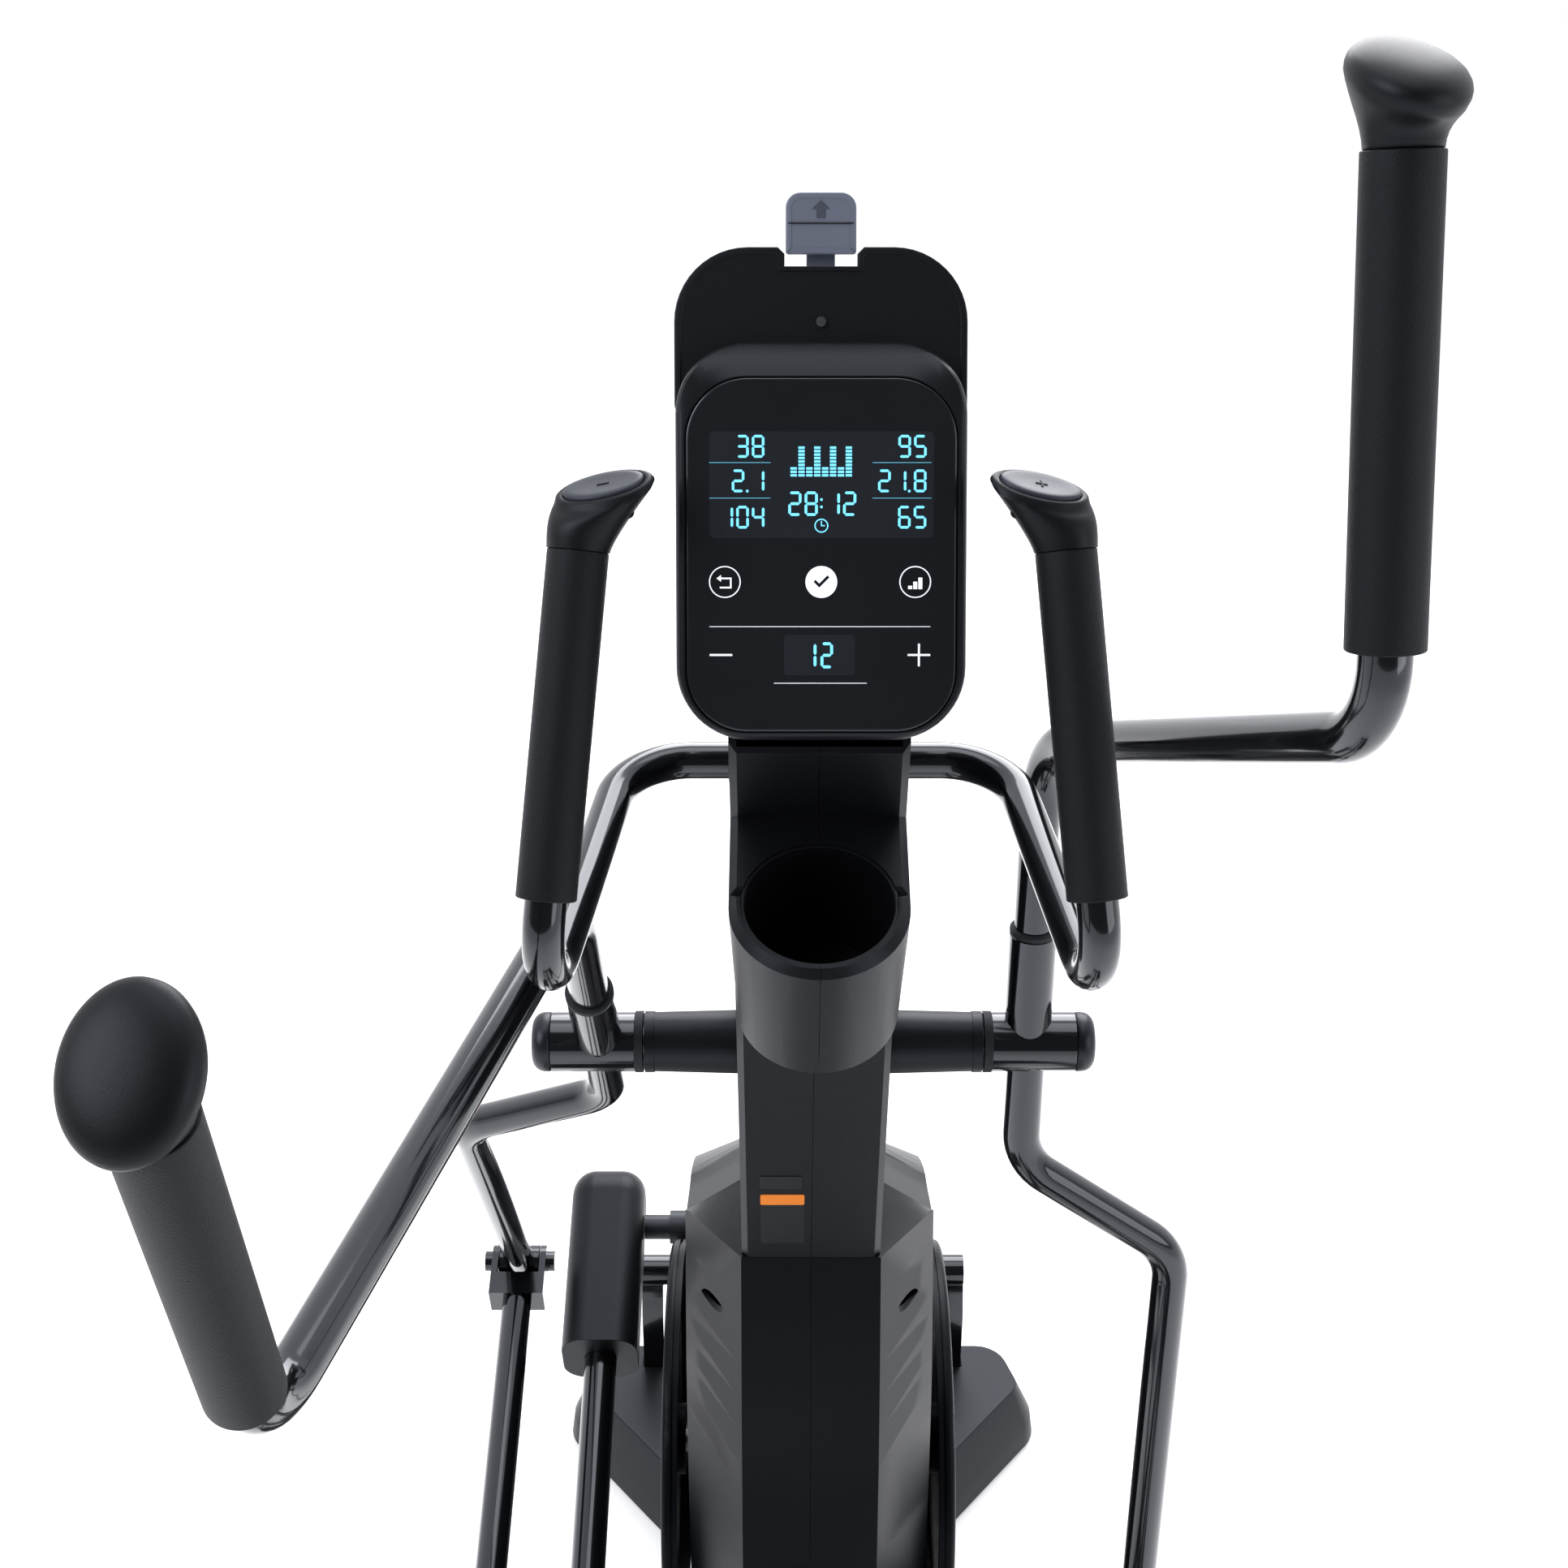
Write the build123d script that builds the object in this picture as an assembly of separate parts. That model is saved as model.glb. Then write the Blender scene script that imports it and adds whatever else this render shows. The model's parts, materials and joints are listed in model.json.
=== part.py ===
from build123d import *

import os
from math import asin, atan2, cos, degrees, hypot, pi, radians, sin, sqrt

# Elliptical trainer: swing arms, link bars and roller bars driven by a crank inside a housing.
# Axes: +X the user's right, +Y forward, +Z up. While it is being built, heights count from the floor and
# fore-aft places from the swing arms' axis; the finished model is moved so that its box centre is Y zero.

# --- Driving dimensions, in millimetres and degrees ---
PIVOT_Z = 1014.0  # height of the swing arms' axis
GAP = 0.3  # free space between pieces that pass each other
RUNNING = 0.05  # radial clearance of a shaft that turns in its bore
SEAM = 0.15  # half the gap between two mating shells

CRANK_Y, CRANK_Z = 231.0, 354.0
CRANK_THROW = 215.0
CRANK_START = 32.0  # angle of the left pin above straight ahead, at rest
CRANK_STROKE = 180.0  # turn that carries one end of the stride to the other
ROLLER_Z = 209.0
ROLLER_BAR_LENGTH = 850.0  # crank pin to roller axle
LINK_PIN_AHEAD = 130.0  # rear link pin, ahead of the roller axle along the bar
LINK_PIN_ABOVE = 70.0  # and above the bar
LINK_LENGTH = 653.0
ARM_EYE = (160.0, -599.0)  # lower eye of a swing arm, from its axis, arm at mid swing

ARM_TUBE = 28.6
ARM_WALL = 2.0
ARM_X = 161.0
ARM_UPPER_BEND = (161.0, -64.0, 242.0)
ARM_GRIP_BEND = (285.0, -472.0, 326.0)
ARM_GRIP_TOP = (277.0, -478.0, 616.0)
ARM_GRIP_START = 45.0  # foam starts this far above the last bend's corner
ARM_GRIP_DIAMETER = 41.6
ARM_BEND_RADIUS = 70.0
ARM_GRIP_BEND_RADIUS = 50.0
ARM_LOWER_BENDS = ((161.0, 27.0, -105.0), (287.0, 54.0, -194.0))
ARM_LOWER_BEND_RADIUS = 52.0
ARM_EYE_X = 286.0
EYE_DIAMETER, EYE_WIDTH, EYE_PIN = 32.0, 40.0, 12.0
KNOB_SIZE = (62.0, 78.0, 50.0)
KNOB_TILT = (24.0, 10.0)  # the knob's face leans to the user and outwards
SLEEVE_DIAMETER, SLEEVE_INNER_X, SLEEVE_OUTER_X = 44.6, 127.0, 197.0
COLLAR_DIAMETER, COLLAR_TOP = 35.0, 96.0
ARM_AXLE_DIAMETER = 25.0

HANDLE_TUBE = 25.4
HANDLE_CROSS = (0.0, -30.0, 1274.0)
HANDLE_CORNER_X = 129.6
HANDLE_TURN = (168.5, -295.7, 1242.2)
HANDLE_GRIP_TOP = (141.0, -171.0, 1492.7)
HANDLE_GRIP_LENGTH = 203.5
HANDLE_GRIP_DIAMETER = 36.0
HANDLE_CORNER_RADIUS, HANDLE_TURN_RADIUS = 52.0, 36.0
BUTTON_SIZE, BUTTON_TRAVEL = (49.0, 30.0, 5.0), 1.5
HEAD_REACH = (11.5, -4.0, 38.0)  # middle of the button's seat from the grip's top: inwards, forward, up
HEAD_TILT = (32.0, 18.0)  # the seat leans to the user and outwards

CONSOLE_FOOT = (-196.0, 1381.0)  # lower edge of the face, fore-aft place and height
CONSOLE_LEAN = 25.0
CONSOLE_WIDTH, CONSOLE_HEIGHT, CONSOLE_CORNER = 174.0, 236.0, 42.0
BEZEL_DEPTH, CONSOLE_BACK_DEPTH = 22.0, 30.0
GLASS_WIDTH, GLASS_HEIGHT, GLASS_THICK = 160.0, 208.0, 3.0
REST_WIDTH, REST_THICK, REST_TOP = 175.0, 6.0, 292.0
CLIP_WIDTH = 42.0
GLASS_DROP = -9.0  # the glass's centre below the face's
REST_FRONT = -26.0  # front of the tablet rest behind the face

MAST_WIDTH = 113.0
MAST_DEPTH = 104.0
MAST_REAR = ((-167.0, 1388.0), (-153.0, 1347.0), (-96.0, 1180.0), (-40.0, 1014.0), (22.0, 780.0), (36.0, 690.0))
MAST_WALL = 3.0
MAST_CHAMFER = 5.0
MAST_FOOT_Y = 84.0
MAST_TOP_BEHIND = -BEZEL_DEPTH - CONSOLE_BACK_DEPTH - GAP  # the covers end behind the console
AXLE_COVER_ROOT = 48.0
MAST_TUBE = (60.0, 40.0)
CUP_CENTRE = (-201.0, 1269.5)  # middle of the rim
CUP_LEAN = 17.0
CUP_INNER, CUP_DEPTH = 93.0, 98.0
CUP_LINER = 2.5
CUP_TAPER = 4.0

HOUSING_HALF_WIDTH = 107.0
HOUSING_FACET = 57.0  # half-width of the flat middle facet
HOUSING_WALL = 3.0
HOUSING_REAR = ((22, 780), (-10, 690), (-34, 600), (-47, 500), (-50, 400), (-44, 290), (-20, 130))
HOUSING_FRONT = ((430, 130), (520, 180), (545, 330), (480, 480), (370, 620), (250, 716), (190, 744), (140, 764))
HOUSING_FRONT_Y = 545.0
HOUSING_SIDE_BACK = 100.0  # how far the rear facets run forward to the side walls
SLOT_PLACE = (82.0, 40.0, 706.0)  # middle of a shoulder slot
SLOT_ARC, SLOT_HALF_GAP = 22.0, 17.5
SLOT_TURN = -38.0
HOUSING_SHOULDER = 36.0  # how much lower the shoulders end at the side walls
HOUSING_SHOULDER_Z = (560.0, 740.0)  # heights over which the shoulders' drop grows
DISC_RADIUS, DISC_OUTER_X, DISC_INNER_X = 194.0, 134.0, 119.0
CRANK_ARM_X = (108.5, 116.0)
CRANK_AXLE_DIAMETER = 25.0
PIN_BOSS_DIAMETER, PIN_DIAMETER, PIN_BOSS_X, PIN_END_X = 34.0, 25.0, 140.0, 166.0
BAR_CAP_X = (167.0, 242.0)
BAR_CAP_HEIGHT, BAR_CAP_AHEAD, BAR_CAP_BEHIND = 78.0, 60.0, 150.0
ROLLER_BAR_DIAMETER, ROLLER_BAR_X = 32.0, 204.0

FLYWHEEL_Y, FLYWHEEL_Z = 400.0, 262.0
FLYWHEEL_RADIUS, FLYWHEEL_WIDTH = 112.0, 30.0
DRIVE_PULLEY_RADIUS, SMALL_PULLEY_RADIUS, PULLEY_WIDTH = 115.0, 18.0, 14.0
PULLEY_X = 25.0
IDLER_ALONG, IDLER_RADIUS = 48.0, 16.0  # along the belt's lower run from the crank's side
BELT_THICK = 2.0
BEARING_OUTER_RADIUS, BEARING_WIDTH = 26.0, 14.0
INNER_AXLE = 12.0
BRAKE_PIVOT = (FLYWHEEL_Y + 107.0, FLYWHEEL_Z + 62.0)
BRAKE_SHOE = 7.0  # thickness of the brake shoe

ROLLER_RADIUS, ROLLER_WIDTH, ROLLER_AXLE = 35.0, 28.0, 12.0
RAIL_WIDTH, RAIL_THICK, RAIL_LIP = 64.0, 18.0, 4.0
RAIL_REAR_Y, RAIL_FRONT_Y = -862.0, -330.0
BEAM_WIDTH, BEAM_Z = 70.0, (60.0, 120.0)
BEAM_REAR_Y, BEAM_FRONT_Y = -860.0, 590.0
PLATE_X = (56.0, 62.0)
FOOT_DIAMETER, FOOT_HEIGHT = 46.0, 22.0
FOOT_X = 225.0
FRONT_FOOT_Y, REAR_FOOT_Y = 596.0, -870.0
STABILIZER_Z = (22.0, 60.0)
COVER_TOP = 80.0
COVER_OUTLINE = ((0.0, 640.0), (236.0, 640.0), (257.0, 575.0), (160.0, 455.0), (110.0, 395.0), (0.0, 395.0))
COVER_SPREAD = 23.0  # how much wider the cover's foot is than its top
COVER_WALL = 3.0
COVER_CORNERS = (36.0, 24.0)  # radii of the front and side corners
LIFT_BAR_Y, LIFT_BAR_Z, LIFT_BAR_DIAMETER, LIFT_BAR_HALF = 636.0, 206.0, 36.0, 190.0
WHEEL_RADIUS, WHEEL_WIDTH, WHEEL_X, WHEEL_Y, WHEEL_Z = 24.0, 22.0, 130.0, 616.0, 26.0
PEDAL_LENGTH, PEDAL_WIDTH, PEDAL_X, PEDAL_START = 340.0, 132.0, 209.0, -64.0
PEDAL_RAISE = 45.5  # underside above the link bar's axis, clear of the rear pin's post all through the stroke
PEDAL_BRACKETS = (124.0, 240.0)  # from the pedal's rear end, ahead of the post's reach

SIDES = {"left": -1, "right": 1}


# --- Linkage ---
def linkage(pin_angle):
    """Side view of one side at a crank pin angle: places as (fore-aft, height), angles in degrees."""
    turn = radians(pin_angle)
    pin = (CRANK_Y + CRANK_THROW * cos(turn), CRANK_Z + CRANK_THROW * sin(turn))
    axle_y = pin[0] - sqrt(ROLLER_BAR_LENGTH**2 - (pin[1] - ROLLER_Z) ** 2)
    bar = atan2(pin[1] - ROLLER_Z, pin[0] - axle_y)
    link_pin = (
        axle_y + LINK_PIN_AHEAD * cos(bar) - LINK_PIN_ABOVE * sin(bar),
        ROLLER_Z + LINK_PIN_AHEAD * sin(bar) + LINK_PIN_ABOVE * cos(bar),
    )
    away_y, away_z = link_pin[0], link_pin[1] - PIVOT_Z
    distance, reach = hypot(away_y, away_z), hypot(*ARM_EYE)
    along = (reach**2 - LINK_LENGTH**2 + distance**2) / (2 * distance)
    across = sqrt(reach**2 - along**2)
    eye_y = (along * away_y - across * away_z) / distance
    eye_z = (along * away_z + across * away_y) / distance
    arm = degrees(atan2(eye_z, eye_y) - atan2(ARM_EYE[1], ARM_EYE[0]))
    link = degrees(atan2(eye_z + PIVOT_Z - link_pin[1], eye_y - link_pin[0]))
    return {
        "pin": pin,
        "axle": (axle_y, ROLLER_Z),
        "bar": degrees(bar),
        "link_pin": link_pin,
        "eye": (eye_y, eye_z + PIVOT_Z),
        "arm": arm,
        "link": link,
    }


def belt_line():
    """Pulley distance, its slope in degrees, and the sine of the belt runs' lean."""
    away_y, away_z = FLYWHEEL_Y - CRANK_Y, FLYWHEEL_Z - CRANK_Z
    distance = hypot(away_y, away_z)
    lean = (DRIVE_PULLEY_RADIUS - SMALL_PULLEY_RADIUS) / distance
    return distance, degrees(atan2(away_z, away_y)), lean


def idler_place():
    """Idler centre, under the belt's lower run."""
    _, slope, lean = belt_line()
    turn = radians(slope) + asin(lean) - pi / 2
    out = DRIVE_PULLEY_RADIUS + BELT_THICK + IDLER_RADIUS + 2 * GAP
    y = CRANK_Y + out * cos(turn) - IDLER_ALONG * sin(turn)
    z = CRANK_Z + out * sin(turn) + IDLER_ALONG * cos(turn)
    return y, z


REST = {"left": linkage(CRANK_START), "right": linkage(CRANK_START + CRANK_STROKE)}
PIVOT = Pos(0, 0, PIVOT_Z)
CONSOLE = Plane(
    origin=(0, *CONSOLE_FOOT),
    x_dir=(1, 0, 0),
    z_dir=(0, -cos(radians(CONSOLE_LEAN)), sin(radians(CONSOLE_LEAN))),
)


# --- Shapes that repeat ---
def rod(start, end, diameter, bore=0):
    """Round bar between two points, with an optional bore."""
    start, end = Vector(*start), Vector(*end)
    place = Plane(origin=start, z_dir=end - start)
    section = Circle(diameter / 2) - Circle(bore / 2) if bore else Circle(diameter / 2)
    return extrude(place * section, (end - start).length)


def cross_rod(y, z, x0, x1, diameter, bore=0):
    """Round bar along X."""
    return rod((x0, y, z), (x1, y, z), diameter, bore)


def bent_tube(points, radii, diameter, wall):
    """Round tube along straight runs joined by tangent arcs."""
    path = FilletPolyline(*points, radius=radii)
    start = Plane(origin=path @ 0, z_dir=path % 0)
    return sweep(start * (Circle(diameter / 2) - Circle(diameter / 2 - wall)), path=path)


def block(x0, x1, y0, y1, z0, z1):
    """Box from its limits."""
    middle = Pos((x0 + x1) / 2, (y0 + y1) / 2, (z0 + z1) / 2)
    return middle * Box(abs(x1 - x0), abs(y1 - y0), abs(z1 - z0))


def side_plate(outline, x0, x1):
    """Side-view outline of (fore-aft, height) points or a face, from x0 to x1."""
    plane = Plane(origin=(x0, 0, 0), x_dir=(0, 1, 0), z_dir=(1, 0, 0))
    face = make_face(Polyline(*outline, close=True)) if isinstance(outline, (list, tuple)) else outline
    return extrude(plane * face, x1 - x0)


def smooth_line(points, steps=3):
    """The points with Catmull-Rom points between them."""
    ends = [points[0], *points, points[-1]]
    line = []
    for a, b, c, d in zip(ends, ends[1:], ends[2:], ends[3:]):
        for i in range(steps):
            t = i / steps
            weights = (-t + 2 * t**2 - t**3, 2 - 5 * t**2 + 3 * t**3, t + 4 * t**2 - 3 * t**3, t**3 - t**2)
            line.append(tuple(sum(w * p[k] for w, p in zip(weights, (a, b, c, d))) / 2 for k in (0, 1)))
    return [*line, points[-1]]


def inset_line(points, distance):
    """A closed side-view outline moved inwards by the distance, point by point."""
    count = len(points)
    area = sum(points[i - 1][0] * points[i][1] - points[i][0] * points[i - 1][1] for i in range(count))
    turn = distance if area > 0 else -distance
    moved = []
    for i, (y, z) in enumerate(points):
        (ya, za), (yb, zb) = points[i - 1], points[(i + 1) % count]
        before, after = hypot(y - ya, z - za), hypot(yb - y, zb - z)
        na = ((za - z) / before, (y - ya) / before)
        nb = ((z - zb) / after, (yb - y) / after)
        reach = turn / (1 + na[0] * nb[0] + na[1] * nb[1])
        moved.append((y + (na[0] + nb[0]) * reach, z + (na[1] + nb[1]) * reach))
    return moved


def faceted(inner, outer, flat, half):
    """Body between two side-view outlines: the inner one across the flat, the outer one on the side walls."""
    body = side_plate(inner, -flat, flat)
    for side in SIDES.values():
        sections = []
        for x, outline in ((side * flat, inner), (side * half, outer)):
            plane = Plane(origin=(x, 0, 0), x_dir=(0, 1, 0), z_dir=(1, 0, 0))
            sections.append(plane * make_face(Polyline(*outline, close=True)))
        body += loft(sections, ruled=True)
    return body


def mirrored(point, side):
    """The point on the given side."""
    return (side * point[0], point[1], point[2])


def tilted(y, z, angle):
    """Frame at a side-view place, turned so that its +Y climbs by the angle."""
    return Pos(0, y, z) * Rot(X=angle)


# --- Frame and feet ---
def base_frame():
    """Welded floor beam, crank uprights, rear cross members and rail posts."""
    low, high = BEAM_Z
    half = BEAM_WIDTH / 2
    beam = block(-half, half, BEAM_REAR_Y, BEAM_FRONT_Y, low, high)
    beam -= block(-half + 3, half - 3, BEAM_REAR_Y - 1, BEAM_FRONT_Y + 1, low + 3, high - 3)
    floor_y = (CRANK_Y - 60, FLYWHEEL_Y + 60)
    frame = beam + block(-PLATE_X[1], PLATE_X[1], *floor_y, high, high + 6)
    outline = [
        (floor_y[0], high + 6),
        (floor_y[1], high + 6),
        (FLYWHEEL_Y + 30, FLYWHEEL_Z + 24),
        (CRANK_Y + 34, CRANK_Z + 34),
        (CRANK_Y - 34, CRANK_Z + 34),
    ]
    bore = 2 * BEARING_OUTER_RADIUS
    for side in SIDES.values():
        plate = side_plate(outline, side * PLATE_X[0], side * PLATE_X[1])
        plate -= cross_rod(CRANK_Y, CRANK_Z, -70, 70, bore)
        plate -= cross_rod(FLYWHEEL_Y, FLYWHEEL_Z, -70, 70, INNER_AXLE)
        plate -= cross_rod(*idler_place(), -70, 70, INNER_AXLE)
        frame += plate
    top = ROLLER_Z - ROLLER_RADIUS - GAP - RAIL_THICK
    for y in (RAIL_REAR_Y + 30, RAIL_FRONT_Y - 50):
        reach = ROLLER_BAR_X + RAIL_WIDTH / 2
        frame += block(-reach, reach, y - 20, y + 20, high, top)
    for side in SIDES.values():
        post = side * ROLLER_BAR_X
        frame += block(post - 20, post + 20, RAIL_REAR_Y + 10, RAIL_REAR_Y + 50, low, top)
    foot = block(-PLATE_X[0] + 1, PLATE_X[0] - 1, MAST_FOOT_Y - 45, MAST_FOOT_Y + 45, high, high + 6)
    return frame + foot


def stabilizer(y, half_length, depth):
    """Floor cross tube that a foot screws into at each end."""
    low, high = STABILIZER_Z
    return block(-half_length, half_length, y - depth / 2, y + depth / 2, low, high)


def front_stabilizer():
    """Front floor tube, notched for the transport wheels."""
    tube = stabilizer(FRONT_FOOT_Y, FOOT_X + 16, 40)
    for side in SIDES.values():
        x = side * WHEEL_X
        room = WHEEL_WIDTH / 2 + 3
        tube -= block(x - room, x + room, WHEEL_Y - WHEEL_RADIUS - 3, WHEEL_Y + 40, 0, WHEEL_Z + WHEEL_RADIUS + 3)
    return tube


def leveling_feet():
    """Four round feet, one at each floor tube's end."""
    feet = []
    for y in (FRONT_FOOT_Y, REAR_FOOT_Y):
        for side in SIDES.values():
            foot = Pos(side * FOOT_X, y, 0) * extrude(Circle(FOOT_DIAMETER / 2), FOOT_HEIGHT)
            feet.append(chamfer(foot.edges().group_by(Axis.Z)[-1], 5))
    return feet


def rear_end_caps():
    """Plastic caps that close the rear floor tube and the floor beam."""
    low, high = STABILIZER_Z
    caps = []
    for side in SIDES.values():
        x0, x1 = side * (FOOT_X + 30), side * (FOOT_X + 42)
        cap = block(x0, x1, REAR_FOOT_Y - 25, REAR_FOOT_Y + 25, low, high)
        caps.append(fillet(cap.edges().filter_by(Axis.Y).sort_by(Axis.X)[-1 if side > 0 else 0], 6))
    half = BEAM_WIDTH / 2
    caps.append(block(-half, half, BEAM_REAR_Y - 8, BEAM_REAR_Y, *BEAM_Z))
    return caps


def rounded_corner(before, corner, after, radius, steps=5):
    """Points of a tangent arc in place of a corner."""
    corner = Vector(*corner)
    back, ahead = (Vector(*before) - corner).normalized(), (Vector(*after) - corner).normalized()
    half = radians(back.get_angle(ahead)) / 2
    reach = radius / (sin(half) / cos(half))
    centre = corner + (back + ahead).normalized() * (radius / sin(half))
    start, end = corner + back * reach - centre, corner + ahead * reach - centre
    spread = radians(start.get_angle(end))
    points = []
    for i in range(steps + 1):
        t = i / steps
        spoke = (start * sin((1 - t) * spread) + end * sin(t * spread)) * (1 / sin(spread))
        points.append((centre.X + spoke.X, centre.Y + spoke.Y))
    return points


def cover_section(grow, z):
    """Plan outline of the front foot cover, both halves, grown outwards."""
    a, b, c, *rest = COVER_OUTLINE
    half = [a, *rounded_corner(a, b, c, COVER_CORNERS[0]), *rounded_corner(b, c, rest[0], COVER_CORNERS[1]), *rest]
    outline = half + [(-x, y) for x, y in reversed(half) if x > 0]
    return Pos(0, 0, z) * offset(make_face(Polyline(*outline, close=True)), grow, kind=Kind.INTERSECTION)


def front_foot_cover():
    """Moulded cover over the front floor tube, open below and cut round the beam and housing."""
    spread = COVER_SPREAD
    outer = loft([cover_section(spread, 4), cover_section(spread - 4, 34), cover_section(0, COVER_TOP)], ruled=True)
    inside = [cover_section(spread - 3, 0), cover_section(spread - 7, 34), cover_section(-4, COVER_TOP - COVER_WALL)]
    cover = outer - loft(inside, ruled=True)
    room = HOUSING_HALF_WIDTH + 3
    cover -= block(-room, room, 300, HOUSING_FRONT_Y + 6, 0, COVER_TOP + 1)
    half = BEAM_WIDTH / 2 + 1
    cover -= block(-half, half, 300, BEAM_FRONT_Y + 1, 0, COVER_TOP + 1)
    for side in SIDES.values():
        x0, x1 = side * (LIFT_BAR_HALF - 26), side * (LIFT_BAR_HALF + 1)
        cover -= block(x0, x1, LIFT_BAR_Y - 31, LIFT_BAR_Y - 9, 10, COVER_TOP + 1)
        x = side * WHEEL_X
        room = WHEEL_WIDTH / 2 + 4
        cover -= block(x - room, x + room, 630, 700, 0, WHEEL_Z + WHEEL_RADIUS + 4)
    return cover


def lift_handle():
    """Cross bar on two flat brackets above the front foot, for lifting and rolling the trainer."""
    bar = cross_rod(LIFT_BAR_Y, LIFT_BAR_Z, -LIFT_BAR_HALF, LIFT_BAR_HALF, LIFT_BAR_DIAMETER, LIFT_BAR_DIAMETER - 4)
    for side in SIDES.values():
        x0, x1 = side * (LIFT_BAR_HALF - 25), side * LIFT_BAR_HALF
        low = STABILIZER_Z[1]
        outline = [
            (LIFT_BAR_Y - 30, low),
            (LIFT_BAR_Y - 10, low),
            (LIFT_BAR_Y - 10, 150),
            (LIFT_BAR_Y + 12, LIFT_BAR_Z - 8),
            (LIFT_BAR_Y - 12, LIFT_BAR_Z - 8),
            (LIFT_BAR_Y - 30, 160),
        ]
        plate = side_plate(outline, x0, x1)
        bar += plate - cross_rod(LIFT_BAR_Y, LIFT_BAR_Z, -200, 200, LIFT_BAR_DIAMETER - 2)
    return bar


def transport_wheels():
    """Two small wheels in the front floor tube, clear of the floor until the rear is lifted."""
    wheels = []
    for side in SIDES.values():
        x = side * WHEEL_X
        wheel = cross_rod(WHEEL_Y, WHEEL_Z, x - WHEEL_WIDTH / 2, x + WHEEL_WIDTH / 2, 2 * WHEEL_RADIUS, 10.1)
        wheels.append(wheel)
    return wheels


def guide_rails():
    """Flat rails with side lips that the rollers run on."""
    rails = []
    top = ROLLER_Z - ROLLER_RADIUS - GAP
    for side in SIDES.values():
        x0, x1 = side * ROLLER_BAR_X - RAIL_WIDTH / 2, side * ROLLER_BAR_X + RAIL_WIDTH / 2
        rail = block(x0, x1, RAIL_REAR_Y, RAIL_FRONT_Y, top - RAIL_THICK, top + RAIL_LIP)
        rail -= block(x0 + 5, x1 - 5, RAIL_REAR_Y - 1, RAIL_FRONT_Y + 1, top, top + RAIL_LIP + 1)
        rails.append(rail)
    return rails


# --- Mast, cup and pivots ---
def mast_outline():
    """Side outline of the mast between its rear and front faces."""
    rear = smooth_line(MAST_REAR)
    front = [(y + MAST_DEPTH * 1.04, z + MAST_DEPTH * 0.25) for y, z in rear]
    return [*rear, *reversed(front)]


def cup_frame():
    """Frame on the cup's rim, +Z up along the cup's axis."""
    return Pos(0, *CUP_CENTRE) * Rot(X=CUP_LEAN)


def mast_outer(grow=0.0):
    """Outside of the mast covers with chamfered edges, without the cup."""
    inner = inset_line(mast_outline(), -grow)
    outer = inset_line(mast_outline(), MAST_CHAMFER - grow)
    half = MAST_WIDTH / 2 + grow
    return faceted(inner, outer, half - MAST_CHAMFER, half)


def cup_section(radius, height):
    """Round front of the cup with straight sides that run back into the mast."""
    back = MAST_WIDTH / 2 + 24
    return Pos(0, 0, height) * (Circle(radius) + Pos(0, back / 2) * Rectangle(2 * radius, back))


def cup_shell():
    """Outside of the cup, tapered downwards and chamfered at the rim."""
    radius = MAST_WIDTH / 2
    low = cup_section(radius - CUP_TAPER, -CUP_DEPTH - 8)
    high = cup_section(radius, -MAST_CHAMFER)
    body = loft([low, high], ruled=True) + loft([high, cup_section(radius - MAST_CHAMFER, 0)], ruled=True)
    return cup_frame() * body


def mast_covers():
    """Left and right mast shells with the cup's outside moulded on."""
    whole = mast_outer() + cup_shell()
    half = MAST_WIDTH / 2 - MAST_CHAMFER
    cavity = side_plate(inset_line(mast_outline(), MAST_WALL), -half, half)
    cup_room = cup_frame() * Pos(0, 0, -CUP_DEPTH) * extrude(Circle(CUP_INNER / 2 + CUP_LINER), CUP_DEPTH + 60)
    keep = cup_frame() * Pos(0, 0, -CUP_DEPTH - 6) * extrude(Circle(CUP_INNER / 2 + CUP_LINER + 3), CUP_DEPTH + 6)
    whole -= cavity - keep
    whole -= cup_room
    whole -= mast_core(2)
    whole -= CONSOLE * Pos(0, 150, MAST_TOP_BEHIND + 50) * Box(300, 500, 100)
    whole -= cross_rod(0, PIVOT_Z, -100, 100, AXLE_COVER_ROOT + 2 * GAP)
    whole -= rod((-100, *HANDLE_CROSS[1:]), (100, *HANDLE_CROSS[1:]), HANDLE_TUBE + 2 * GAP)
    return {
        "left": whole & block(-200, -SEAM, -500, 500, 0, 2000),
        "right": whole & block(SEAM, 200, -500, 500, 0, 2000),
    }


def bottle_cup():
    """Liner of the bottle cup."""
    outer = extrude(Circle(CUP_INNER / 2 + CUP_LINER), CUP_DEPTH - 1)
    liner = outer - Pos(0, 0, CUP_LINER) * extrude(Circle(CUP_INNER / 2), CUP_DEPTH)
    return cup_frame() * Pos(0, 0, -CUP_DEPTH) * liner


def mast_core(grow=0.0):
    """Bent steel mast as a solid bar, grown by the given clearance."""
    centre = [(y + MAST_DEPTH * 0.55, z + MAST_DEPTH * 0.12) for y, z in MAST_REAR[1:]]
    wide, deep = MAST_TUBE
    half = deep / 2 + grow
    rear = [(y - half, z) for y, z in centre] + [(MAST_FOOT_Y - half, BEAM_Z[1] + 14)]
    front = [(y + half, z) for y, z in centre] + [(MAST_FOOT_Y + half, BEAM_Z[1] + 14)]
    return side_plate([*rear, *reversed(front)], -wide / 2 - grow, wide / 2 + grow)


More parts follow.
